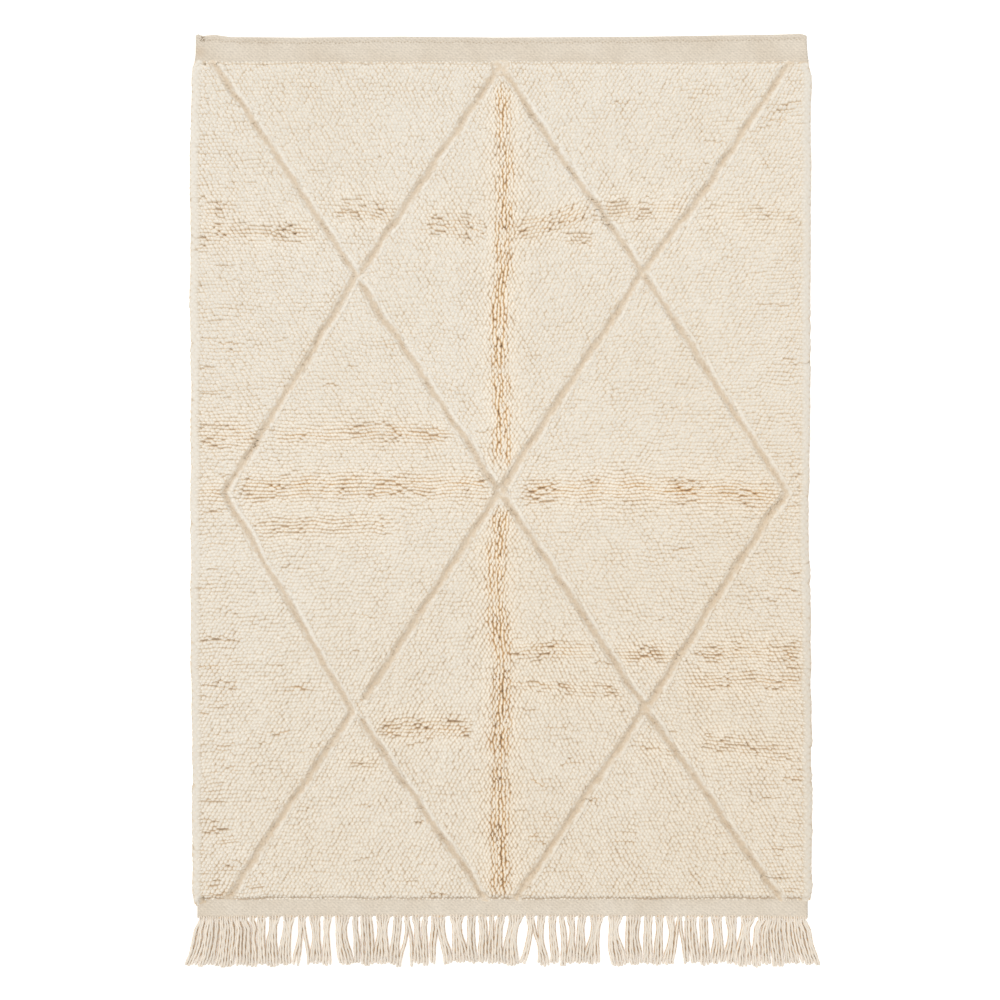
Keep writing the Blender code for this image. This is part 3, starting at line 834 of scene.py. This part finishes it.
class Nodes:
    """A material's node tree, with short calls to add to it."""

    def __init__(self, name):
        self.material = bpy.data.materials.new(name)
        self.material.use_nodes = True
        self.tree = self.material.node_tree
        self.shader = self.tree.nodes["Principled BSDF"]
        self.place = self.add("NewGeometry")["Position"]

    def put(self, source, target):
        if isinstance(source, bpy.types.NodeSocket):
            self.tree.links.new(source, target)
        elif source is not None:
            is_colour = target.type == "RGBA"
            target.default_value = (*source, 1.0) if is_colour else source

    def add(self, kind, *sources, **settings):
        """A new node's outputs. The sources feed its inputs in order, but None leaves one."""
        node = self.tree.nodes.new("ShaderNode" + kind)
        for key, value in settings.items():
            setattr(node, key, value)
        for source, target in zip(sources, node.inputs):
            self.put(source, target)
        return node.outputs

    def value(self, name):
        return self.add("Attribute", attribute_name=name)["Fac"]

    def plus(self, first, second, operation="ADD"):
        return self.add("Math", first, second, operation=operation)[0]

    def times(self, first, second):
        return self.plus(first, second, "MULTIPLY")

    def noise(self, scale, detail):
        return self.add("TexNoise", self.place, None, scale, detail)["Fac"]

    def between(self, source, low, high, at_low=0.0, at_high=1.0):
        """A value read from one range into another, and kept inside it."""
        return self.add("MapRange", source, low, high, at_low, at_high)["Result"]

    def ramp(self, source, *stops):
        """A colour read from stops: each a position, red, green and blue."""
        colour = self.add("ValToRGB", source)["Color"]
        elements = colour.node.color_ramp.elements
        while len(elements) < len(stops):
            elements.new(0.5)
        for element, (position, *shade) in zip(elements, stops):
            element.position = position
            element.color = (*shade, 1.0)
        return colour

    def mix(self, factor, first, second, blend="MIX"):
        sources = (factor, *[None] * 5, first, second)
        return self.add("Mix", *sources, data_type="RGBA", blend_type=blend)[2]

    def shaded(self, factor, first, second):
        return self.mix(factor, first, second, "MULTIPLY")

    def lighter(self, colour, low, high, source):
        """A colour made darker or lighter, from low to high, by a value from 0 to 1."""
        value = self.between(source, 0.0, 1.0, low, high)
        return self.add("HueSaturation", None, None, value, None, colour)["Color"]

    def near(self, middle, radius):
        """1 at a place, falling to 0 at a radius from it."""
        reach = self.add("VectorMath", self.place, middle, operation="DISTANCE")["Value"]
        return self.between(reach, 0.0, radius, 1.0, 0.0)

    def bump(self, height, strength, distance):
        bump = self.add("Bump", strength, distance)["Normal"]
        self.put(height, bump.node.inputs["Height"])
        self.put(bump, self.shader.inputs["Normal"])

    def finish(self, **looks):
        """Sets the shader's inputs, named without their spaces, and returns the material."""
        for key, value in looks.items():
            self.put(value, self.shader.inputs[key.replace("_", " ")])
        return self.material

    def finish_wool(self, colour, sheen):
        return self.finish(
            Base_Color=colour, Roughness=0.92, Specular_IOR_Level=0.15,
            Sheen_Weight=sheen, Sheen_Roughness=0.6,
        )


def pile_material():
    nodes = Nodes("pile_wool")
    # Each tuft darker down towards its foot: painted shade between the tufts. Where a gap has
    # opened, a deeper golden painted shade low down and brighter tips, a painted highlight.
    rise = nodes.value("rise")
    closed = nodes.ramp(
        rise,
        (0.00, 0.65, 0.525, 0.38),
        (0.50, 0.69, 0.597, 0.475),
        (0.74, 0.725, 0.668, 0.58),
        (1.00, 0.755, 0.722, 0.66),
    )
    parted_shade = nodes.ramp(
        rise,
        (0.00, 0.50, 0.29, 0.13),
        (0.55, 0.61, 0.42, 0.235),
        (0.76, 0.71, 0.60, 0.44),
        (1.00, 0.785, 0.75, 0.68),
    )
    wool = nodes.mix(nodes.between(nodes.value("opened"), 0.05, 0.58), closed, parted_shade)

    # The grooves: the colour of their low pile with painted shade over it, and a ragged rim.
    ragged = nodes.between(nodes.noise(95.0, 2.0), 0.3, 0.7, -0.65, 0.65)
    aside = nodes.plus(nodes.plus(nodes.value("aside"), None, "ABSOLUTE"), ragged)
    wool = nodes.mix(nodes.between(aside, 0.45, 1.6, 0.78, 0.0), wool, (0.655, 0.538, 0.40))

    # Wide soft patches, a painted warmer shade on the side away from the light, and warm painted
    # shade low on the tufts in the bands.
    patches = nodes.between(nodes.noise(2.2, 3.0), 0.35, 0.70, 0.0, 0.35)
    wool = nodes.shaded(patches, wool, (0.955, 0.925, 0.875))
    x, y, _ = nodes.add("SeparateXYZ", nodes.place)
    away = nodes.between(nodes.plus(x, y, "SUBTRACT"), -0.6, 1.6, 0.0, 0.8)
    wool = nodes.shaded(away, wool, (0.965, 0.94, 0.905))
    deep = nodes.between(rise, 0.60, 1.0, 0.8, 0.35)
    wool = nodes.shaded(nodes.times(nodes.value("deep_shade"), deep), wool, (0.99, 0.945, 0.885))
    speck = nodes.times(nodes.value("speck"), nodes.between(rise, 0.80, 1.0, 0.0, 0.8))
    wool = nodes.mix(speck, wool, (0.36, 0.22, 0.11))
    wool = nodes.lighter(wool, 0.88, 1.21, nodes.value("tone"))
    grain = nodes.between(nodes.noise(190.0, 4.0), 0.25, 0.75)
    wool = nodes.lighter(wool, 0.93, 1.06, grain)
    nodes.bump(grain, 0.5, 0.0016)
    return nodes.finish_wool(wool, 0.15)


def weave_material():
    nodes = Nodes("ground_weave")
    x, y, _ = nodes.add("SeparateXYZ", nodes.place)
    bent = nodes.times(nodes.noise(26.0, 2.0), 0.012)
    slant = nodes.plus(nodes.plus(nodes.times(x, 0.62), nodes.times(y, 0.78)), bent)
    weft = nodes.plus(y, nodes.times(bent, 0.5))
    twill = nodes.plus(nodes.times(slant, TURN / 0.0078), None, "SINE")
    ribs = nodes.plus(nodes.times(weft, TURN / 0.0062), None, "SINE")
    cross = nodes.plus(nodes.times(twill, 0.5), nodes.times(ribs, 0.35))
    speckle = nodes.between(nodes.noise(190.0, 3.0), 0.3, 0.7, -1.0, 1.0)
    yarns = nodes.plus(nodes.times(cross, 0.45), nodes.times(speckle, 0.55))
    patches = nodes.noise(9.0, 3.0)
    weave = nodes.ramp(patches, (0.3, 0.58, 0.508, 0.415), (0.7, 0.635, 0.572, 0.485))
    weave = nodes.lighter(weave, 0.84, 1.145, nodes.between(yarns, -0.9, 0.9))

    # A dark ragged mark and a rusty one at the upper left corner.
    mark = nodes.between(nodes.near((-0.8235, 1.2660, 0.0050), 0.014), 0.2, 0.6)
    ragged = nodes.between(nodes.noise(240.0, 2.0), 0.47, 0.56)
    weave = nodes.mix(nodes.times(nodes.times(mark, ragged), 0.8), weave, (0.14, 0.08, 0.03))
    rust = nodes.near((-0.8330, 1.2280, 0.0050), 0.024)
    weave = nodes.mix(nodes.times(rust, 0.40), weave, (0.46, 0.33, 0.21))
    nodes.bump(yarns, 0.6, 0.0012)
    return nodes.finish_wool(weave, 0.1)


def yarn_material():
    nodes = Nodes("fringe_yarn")
    # Painted shade: golden tan low on each yarn and in the waist between its plies, light on top.
    wool = nodes.ramp(
        nodes.value("rise"),
        (0.00, 0.79, 0.55, 0.31),
        (0.25, 0.745, 0.585, 0.405),
        (0.55, 0.735, 0.635, 0.52),
        (1.00, 0.75, 0.695, 0.615),
    )
    wool = nodes.lighter(wool, 0.93, 1.04, nodes.value("tone"))
    fibres = nodes.noise(520.0, 2.0)
    wool = nodes.lighter(wool, 0.92, 1.05, fibres)
    nodes.bump(fibres, 0.35, 0.0006)
    return nodes.finish_wool(wool, 0.15)


def thread_material():
    nodes = Nodes("hem_thread")
    patches = nodes.noise(120.0, 2.0)
    tan = nodes.ramp(patches, (0.3, 0.56, 0.47, 0.36), (0.7, 0.66, 0.58, 0.47))
    nodes.bump(nodes.noise(900.0, 1.0), 0.3, 0.0004)
    return nodes.finish_wool(tan, 0.1)


def build_pile(material):
    """The pile as pieces that the lattice's lines part: five columns, the inner ones cut across."""
    tufts = Tufts()
    x, y = tufts.middles.T
    column = np.zeros(len(x), dtype=int)
    for border in COLUMN_BORDERS:
        places = np.array([LATTICE[name] for name in border])
        column += x > np.interp(-y, -places[:, 1], places[:, 0])
    flank = (y <= LATTICE["D"][1]) + (y <= LATTICE["I"][1]).astype(int)
    parts = {"pile_left": column == 0, "pile_right": column == 4}
    for side, number in (("left", 1), ("right", 3)):
        for level, name in enumerate(("upper", "middle", "lower")):
            parts[f"pile_{name}_{side}"] = (column == number) & (flank == level)
    above = y > LATTICE["G"][1]
    parts["pile_upper_middle"] = (column == 2) & above
    parts["pile_lower_middle"] = (column == 2) & ~above
    return [
        add_piece(name, tufts.mesh(name, np.flatnonzero(chosen)), material)
        for name, chosen in parts.items()
    ]


def ground_plan():
    """The places in plan of the cloth's vertices, row by row from the lower end."""
    shares = np.linspace(0.0, 1.0, GROUND_COLUMNS)
    low_x, high_x = LOWER_X[0], LOWER_X[-1]
    low_end = lower_edge(low_x + (high_x - low_x) * shares)
    high_end = upper_edge(UPPER_X[0] + (UPPER_X[-1] - UPPER_X[0]) * shares)
    low_y, high_y = PILE_LOWER_Y + GROUND_TUCK, PILE_UPPER_Y - GROUND_TUCK
    rows = [low_end + (low_y - low_end) * part for part in evenly(0.0, 1.0, LOWER_ROWS)[:-1]]
    narrowed = len(rows)
    for part in evenly(0.0, 1.0, COVERED_ROWS)[:-1]:
        rows.append(np.full(GROUND_COLUMNS, low_y + (high_y - low_y) * part))
    rows += [high_y + (high_end - high_y) * part for part in evenly(0.0, 1.0, UPPER_ROWS)]
    y = np.array(rows)
    under_pile = np.clip(np.minimum(PILE_UPPER_Y - y, y - PILE_LOWER_Y) / 0.02, 0.0, 1.0)
    left = left_edge(y) + GROUND_INSET * under_pile
    right = right_edge(y) - GROUND_INSET * under_pile
    left[:narrowed] = np.maximum(left[:narrowed], low_x)
    right[:narrowed] = np.minimum(right[:narrowed], high_x)
    return np.dstack((left + (right - left) * shares, y))


def build_ground(material):
    plan = ground_plan()
    x, y = plan[:, :, 0], plan[:, :, 1]
    to_side = np.minimum(x - x[:, :1], x[:, -1:] - x)
    to_upper = upper_edge(x) - y
    to_rim = np.minimum(to_side, np.minimum(to_upper, y - lower_edge(x)))
    folded = eased((HEM_FOLD_DEPTH - to_upper) / HEM_FOLD_EASE)
    seam = np.exp(-(((to_upper - HEM_FOLD_DEPTH) / SEAM_HALF) ** 2))
    soft = waves(plan.reshape(-1, 2), GROUND_SCALE, 5.0).reshape(x.shape)
    top = WEAVE_TOP + (HEM_FOLD_TOP - WEAVE_TOP) * folded - SEAM_SUNK * seam
    top += GROUND_UNEVEN * soft
    height = WEAVE_RIM + (top - WEAVE_RIM) * rounded((to_rim + RIM_START) / RIM_ROUND)
    points = np.dstack((x, y, height)).reshape(-1, 3)

    # A top, a wall round it down to the floor, and a bottom.
    index = np.arange(x.size).reshape(x.shape)
    low, high = index[:-1], index[1:]
    a, b, c, d = (part.ravel() for part in (low[:, :-1], low[:, 1:], high[:, 1:], high[:, :-1]))
    ring = np.concatenate((index[0, :-1], index[:-1, -1], index[-1, :0:-1], index[:0:-1, 0]))
    foot = points[ring]
    foot[:, 2] = GROUND_FOOT_Z
    base = len(points) + np.arange(len(ring))
    base_after, ring_after = np.roll(base, -1), np.roll(ring, -1)
    wall = (ring, base, base_after), (ring, base_after, ring_after)
    faces = triangles((a, b, c), (a, c, d), *wall)
    mesh = new_mesh("ground_weave", np.concatenate((points, foot)), faces)
    bm = bmesh.new()
    bm.from_mesh(mesh)
    open_edges = [edge for edge in bm.edges if edge.is_boundary]
    bmesh.ops.triangle_fill(bm, edges=open_edges, use_beauty=True)
    bmesh.ops.recalc_face_normals(bm, faces=bm.faces)
    bm.to_mesh(mesh)
    bm.free()
    mesh.shade_smooth()
    return add_piece("ground_weave", mesh, material)


def tube_rings(centres, sideways, upward, radii, sides):
    """Points of rings round centres. The directions are one for all rings, or one for each."""
    angles = angles_round(sides)[:, None]
    spokes = sideways[..., None, :] * np.cos(angles) + upward[..., None, :] * np.sin(angles)
    return centres[:, None, :] + spokes * radii[:, None, None]


def tube_triangles(rings, sides):
    """Triangles of a tube closed at both ends by a point: the first and the last vertex."""
    this = np.arange(sides)
    after = (this + 1) % sides
    corners = []
    for a in 1 + np.arange(rings - 1) * sides:
        b = a + sides
        corners += [(a + this, a + after, b + after), (a + this, b + after, b + this)]
    end = 1 + (rings - 1) * sides
    corners.append((np.zeros(sides, int), 1 + after, 1 + this))
    corners.append((np.full(sides, end + sides), end + this, end + after))
    return triangles(*corners)


class Heap:
    """Many small tubes, each closed by a point at both ends, joined into one mesh."""

    def __init__(self):
        self.parts = []
        self.count = 0

    def add(self, start, rings, end, rise, tone):
        """One more tube. Its rise is a number, or one for each vertex."""
        points = np.vstack((start, rings.reshape(-1, 3), end))
        triangles = tube_triangles(*rings.shape[:2]) + self.count
        every_vertex = np.ones(len(points))
        self.parts.append((points, triangles, rise * every_vertex, tone * every_vertex))
        self.count += len(points)

    def mesh(self, name):
        points, triangles, rise, tone = (np.concatenate(part) for part in zip(*self.parts))
        mesh = new_mesh(name, points, triangles)
        add_values(mesh, "rise", rise)
        add_values(mesh, "tone", tone)
        return mesh


def build_stitches(material):
    rng = random.Random(STITCH_SEED)
    heap = Heap()
    shares = np.linspace(-0.5, 0.5, STITCH_RINGS)
    swelling = np.cos(shares * math.pi)
    before, after = STITCH_MARGINS
    along_jitter, across_jitter = STITCH_JITTER
    for x in np.arange(UPPER_X[0] + before, UPPER_X[-1] - after, STITCH_PITCH):
        middle = x + rng.uniform(-along_jitter, along_jitter)
        turn = rng.uniform(*STITCH_TURN)
        length = STITCH_LENGTH * rng.uniform(0.8, 1.1)
        y = upper_edge(middle) - HEM_FOLD_DEPTH + rng.uniform(-across_jitter, across_jitter)
        along = np.array((math.cos(turn), math.sin(turn), 0.0))
        centres = np.array((middle, y, 0.0)) + np.outer(shares * length, along)
        centres[:, 2] = STITCH_Z + STITCH_SWELL * swelling
        sideways = np.array((-math.sin(turn), math.cos(turn), 0.0))
        radii = STITCH_RADIUS * (0.55 + 0.45 * swelling)
        rings = tube_rings(centres, sideways, UP, radii, STITCH_SIDES)
        tip = along * STITCH_TIP
        heap.add(centres[0] - tip, rings, centres[-1] + tip, 1.0, rng.uniform(0.0, 1.0))
    return add_piece("hem_stitches", heap.mesh("hem_stitches"), material)


def bunches(rng, sizes):
    """The strands' numbers, from the left, in bunches of random sizes."""
    first = 0
    while first < STRAND_COUNT:
        last = min(first + rng.choice(sizes), STRAND_COUNT)
        yield np.arange(first, last)
        first = last


def spread(places):
    """Strands pushed apart, from the left and from the right by half, to their spacing."""
    rightwards, leftwards = places.copy(), places.copy()
    for index in range(1, len(places)):
        rightwards[index] = max(rightwards[index], rightwards[index - 1] + STRAND_SPACING)
        leftwards[-1 - index] = min(leftwards[-1 - index], leftwards[-index] - STRAND_SPACING)
    return (rightwards + leftwards) / 2


def fan_out(x):
    """How far past its root a corner strand's tip reaches."""
    share = np.clip((np.abs(x) - FAN_START_X) / (-LOWER_X[0] - FAN_START_X), 0.0, 1.0)
    return np.sign(x) * FAN_SPREAD * share ** 2


def strand_routes():
    """For each strand, the x of its middle and the distance from the strip, row by row."""
    rng = random.Random(FRINGE_SEED)
    low, high = LOWER_X[0] + 2 * STRAND_HALF, LOWER_X[-1] - 2 * STRAND_HALF
    shares = (0.0, CORNER_STRANDS, 1.0 - CORNER_STRANDS, 1.0)
    places = (low, low + CORNER_WIDTH, high - CORNER_WIDTH, high)
    roots = np.interp(np.linspace(0.0, 1.0, STRAND_COUNT), shares, places)
    rows = np.array([0.0, *STRAND_ROWS, STRAND_REACH])
    shares = rows / STRAND_REACH
    closed = STRAND_SPACING * STRAND_COUNT / (high - low)
    closing = np.interp(shares, [0.0, 0.5], [ROOT_CLOSING, closed])
    middles = np.zeros((len(rows), STRAND_COUNT))
    reaches, pinches = np.zeros((2, STRAND_COUNT))
    for members in bunches(rng, BUNCH_SIZES):
        centre = roots[members].mean()
        sway = rng.uniform(-BUNCH_SWAY, BUNCH_SWAY)
        lean = rng.uniform(-BUNCH_LEAN, BUNCH_LEAN)
        drift = centre + sway * np.sin(math.pi * shares) + lean * shares
        middles[:, members] = drift[:, None] + np.outer(closing, roots[members] - centre)
        tip = rng.uniform(STRAND_SHORTEST + TIP_STEP, STRAND_REACH)
        tips = np.array([tip - rng.uniform(0.0, TIP_STEP) for _ in members])
        pinches[members] = rng.uniform(*PINCH) * (centre - roots[members])
        ranks = (members - members.mean()) / max(1.0, len(members) / 2)
        reaches[members] = tips.mean() - TIP_SCALLOP * (ranks ** 2 - 0.3)
    middles += np.outer(shares ** 2, fan_out(roots))
    middles[1:] = [spread(row) for row in middles[1:]]
    reaches = np.minimum(reaches, STRAND_REACH)
    reaches[LONGEST_STRAND] = STRAND_REACH
    last_stretch = (reaches - rows[-2]) / (rows[-1] - rows[-2])
    middles[-1] = middles[-2] + (middles[-1] - middles[-2]) * last_stretch
    drops = np.tile(rows[:, None], (1, STRAND_COUNT))
    drops[-1] = reaches
    return middles, drops, pinches * (1.0 - 0.8 * np.abs(fan_out(roots)) / FAN_SPREAD)


def gathered_tips(middles):
    """Where the tips would lie if the strands lay in wider bunches there, side by side."""
    rng = random.Random(FRINGE_SEED + 1)
    tips = middles[-1].copy()
    for members in bunches(rng, GATHER_SIZES):
        ranks = members - members.mean()
        tips[members] = middles[-1, members].mean() + ranks * GATHER_PITCH
        tips[members] += rng.uniform(-GATHER_SWAY, GATHER_SWAY)
    gathered = np.clip((FAN_START_X + 0.14 - np.abs(middles[-1])) / 0.10, 0.0, 1.0)
    evenly_fanned = middles[0] + fan_out(middles[0])
    return evenly_fanned + (tips - evenly_fanned) * gathered


def smooth_run(places, values, at):
    """Values read at new places from a smooth curve through the given ones."""
    slopes = np.gradient(values, places)
    index = np.clip(np.searchsorted(places, at, side="right") - 1, 0, len(places) - 2)
    width = places[index + 1] - places[index]
    share = (at - places[index]) / width
    low, high = values[index], values[index + 1]
    rise_low, rise_high = slopes[index] * width, slopes[index + 1] * width
    from_low = 2 * share ** 3 - 3 * share ** 2 + 1
    leave_low = share ** 3 - 2 * share ** 2 + share
    leave_high = share ** 3 - share ** 2
    return from_low * low + leave_low * rise_low + (1 - from_low) * high + leave_high * rise_high


def yarn_line(index, middles, drops, pinches, tips):
    """The middle line of a yarn, and the distance from each place on it to the tip."""
    places = np.concatenate(([-STRIP_DEPTH - YARN_ROOT], drops[:, index]))
    xs = np.concatenate(([middles[0, index]], middles[:, index]))
    at = evenly(places[0], places[-1] - YARN_STEP, YARN_STEP)
    at = np.concatenate((at, places[-1] - np.array(YARN_LAST_PLACES)))
    free = np.clip(at / YARN_FREE, 0.0, 1.0)
    to_tip = places[-1] - at
    sway = YARN_SWAY * ripple(at, YARN_SWAY_LENGTH, index + 40)
    sway += YARN_RIPPLE * ripple(at, YARN_RIPPLE_LENGTH, index)
    x = smooth_run(places, xs, at) + sway * free
    x += (tips[index] - middles[-1, index]) * eased(at / places[-1])
    pinch = eased((at + STRIP_DEPTH) / PINCH_START)
    pinch *= 1.0 - eased((at - PINCH_END[0]) / (PINCH_END[1] - PINCH_END[0]))
    x += pinches[index] * pinch
    y = lower_edge(middles[0, index]) - STRIP_DEPTH - at
    under_weave = np.clip(-at / (STRIP_DEPTH + YARN_ROOT), 0.0, 1.0)
    lift = YARN_LIFT * (1.0 + ripple(at, YARN_LIFT_LENGTH, index + 400)) * free
    lift *= np.clip(to_tip / YARN_SETTLE, 0.0, 1.0)
    z = PLY_OFFSET + PLY_RADIUS + YARN_CLEAR - YARN_TUCK * under_weave + lift
    return np.column_stack((x, y, z)), to_tip, at


def directions_along(centres):
    """Along a line, and level and square to it."""
    along = unit(np.gradient(centres, axis=0))
    return along, unit(np.cross(along, UP))


def add_yarn(heap, rng, line):
    centres, to_tip, at = line
    along, sideways = directions_along(centres)
    upward = np.cross(sideways, along)
    twist = (rng.uniform(0.0, TURN) + at / YARN_TWIST * TURN)[:, None]
    spin_side = sideways * np.cos(twist) + upward * np.sin(twist)
    spin_up = upward * np.cos(twist) - sideways * np.sin(twist)
    angles = angles_round(YARN_SIDES)
    waist = np.abs(np.cos(angles)) < 1e-6
    lobes_side = np.cos(angles) * PLY_RADIUS + np.sign(np.round(np.cos(angles), 6)) * PLY_OFFSET
    lobes_up = np.sin(angles) * PLY_RADIUS * np.where(waist, 0.80, 1.0)
    narrowing = np.maximum(0.35, rounded(to_tip / YARN_END)) * rng.uniform(0.92, 1.08)
    narrowing *= np.interp(at, (-STRIP_DEPTH, YARN_NARROW), (0.65, 1.0))
    spokes = spin_side[:, None, :] * lobes_side[:, None] + spin_up[:, None, :] * lobes_up[:, None]
    spokes *= narrowing[:, None, None]
    rings = centres[:, None, :] + spokes
    rings[:, :, 2] = np.maximum(rings[:, :, 2], YARN_LEAST_Z)
    # How high each vertex lies on the yarn, lowered in the waist, for the painted shade.
    rise = 0.5 + 0.5 * spokes[:, :, 2] / (PLY_RADIUS + PLY_OFFSET) - 0.12 * waist
    rise = np.concatenate(([0.5], np.clip(rise, 0.0, 1.0).ravel(), [0.6]))
    start = centres[0] - along[0] * YARN_CAPS[0]
    end = centres[-1] + along[-1] * YARN_CAPS[1]
    heap.add(start, rings, end, rise, rng.uniform(0.0, 1.0))


def add_shade_strip(heap, line):
    """A flat tan strip under a yarn: painted shade between the yarns."""
    centres, to_tip, at = line
    centres = centres[(to_tip > SHADE_STRIP_END) & (at > SHADE_STRIP_START)][::2]
    centres[:, 2] -= SHADE_STRIP_SINK
    sideways = directions_along(centres)[1] * SHADE_STRIP_HALF
    narrowing = np.minimum(1.0, 0.35 + 0.65 * np.arange(len(centres), 0, -1) / 4)
    rings = tube_rings(centres, sideways, SHADE_STRIP_THICK * UP, narrowing, 4)
    heap.add(centres[0], rings, centres[-1], 0.0, 0.5)


def add_knot(heap, rng, x):
    """A yarn's knot against the lower edge of the weave."""
    y = lower_edge(x) - KNOT_BELOW + rng.uniform(-KNOT_JITTER, KNOT_JITTER)
    middle = np.array((x, y, KNOT_Z))
    shares = np.linspace(-0.8, 0.8, 4)
    turn = rng.uniform(-0.5, 0.5)
    along = np.array((math.sin(turn), -math.cos(turn), 0.0))
    centres = middle + np.outer(shares * KNOT_HALF_LENGTH, along)
    sideways = np.array((math.cos(turn), math.sin(turn), 0.0))
    radii = KNOT_RADIUS * rng.uniform(0.85, 1.1) * np.sqrt(1.0 - shares ** 2)
    rings = tube_rings(centres, sideways, UP, radii, 6)
    rings[:, :, 2] = np.maximum(rings[:, :, 2], YARN_LEAST_Z)
    heights = np.concatenate(([middle[2]], rings[:, :, 2].ravel(), [middle[2]]))
    # Painted shade lower on the knot, and darker at random.
    rise = 0.55 + 0.20 * (heights - middle[2]) / KNOT_RADIUS - 0.6 * rng.uniform(0.0, 1.0) ** 2
    tip = along * KNOT_HALF_LENGTH
    heap.add(middle - tip, rings, middle + tip, np.clip(rise, 0.0, 1.0), rng.uniform(0.0, 1.0))


def build_fringe(material):
    rng = np.random.default_rng(FRINGE_SEED)
    middles, drops, pinches = strand_routes()
    tips = gathered_tips(middles)
    heap = Heap()
    for index, root in enumerate(middles[0]):
        line = yarn_line(index, middles, drops, pinches, tips)
        add_yarn(heap, rng, line)
        add_shade_strip(heap, line)
        add_knot(heap, rng, root + STRAND_SPACING * rng.uniform(0.3, 0.8))
    return add_piece("fringe_yarns", heap.mesh("fringe_yarns"), material)


def build_studio():
    corners = FLOOR_SIZE / 2 * np.array(((-1, -1, 0), (1, -1, 0), (1, 1, 0), (-1, 1, 0)))
    floor = add_object("floor", new_mesh("floor", corners, np.array([(0, 1, 2, 3)])))
    white = Nodes("floor_white").finish(
        Base_Color=(0.97, 0.97, 0.97), Roughness=1.0, Specular_IOR_Level=0.0,
        Emission_Color=LIGHT_COLOUR, Emission_Strength=FLOOR_GLOW,
    )
    floor.data.materials.append(white)

    world = bpy.data.worlds.new("soft_sky")
    world.use_nodes = True
    sky = world.node_tree.nodes["Background"]
    sky.inputs["Color"].default_value = SKY_COLOUR
    sky.inputs["Strength"].default_value = SKY_STRENGTH
    bpy.context.scene.world = world

    lamp = bpy.data.lights.new("key", "SUN")
    lamp.energy = KEY_STRENGTH
    lamp.angle = KEY_SPREAD
    lamp.color = LIGHT_COLOUR
    level = math.cos(KEY_HEIGHT)
    towards = (math.cos(KEY_TURN) * level, math.sin(KEY_TURN) * level, math.sin(KEY_HEIGHT))
    key = add_object("key", lamp)
    key.rotation_mode = "QUATERNION"
    key.rotation_quaternion = Vector(towards).to_track_quat("Z", "Y")

    lens = bpy.data.cameras.new("camera")
    lens.lens = LENS
    lens.sensor_width = SENSOR
    camera = add_object("camera", lens)
    camera.location = (*VIEW_MIDDLE, VIEW_WIDTH * LENS / SENSOR)
    bpy.context.scene.camera = camera
    bpy.context.scene.view_settings.view_transform = "Standard"


build_studio()
pile = build_pile(pile_material())
ground = build_ground(weave_material())
stitches = build_stitches(thread_material())
fringe = build_fringe(yarn_material())
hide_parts("rug")
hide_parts("fringe")
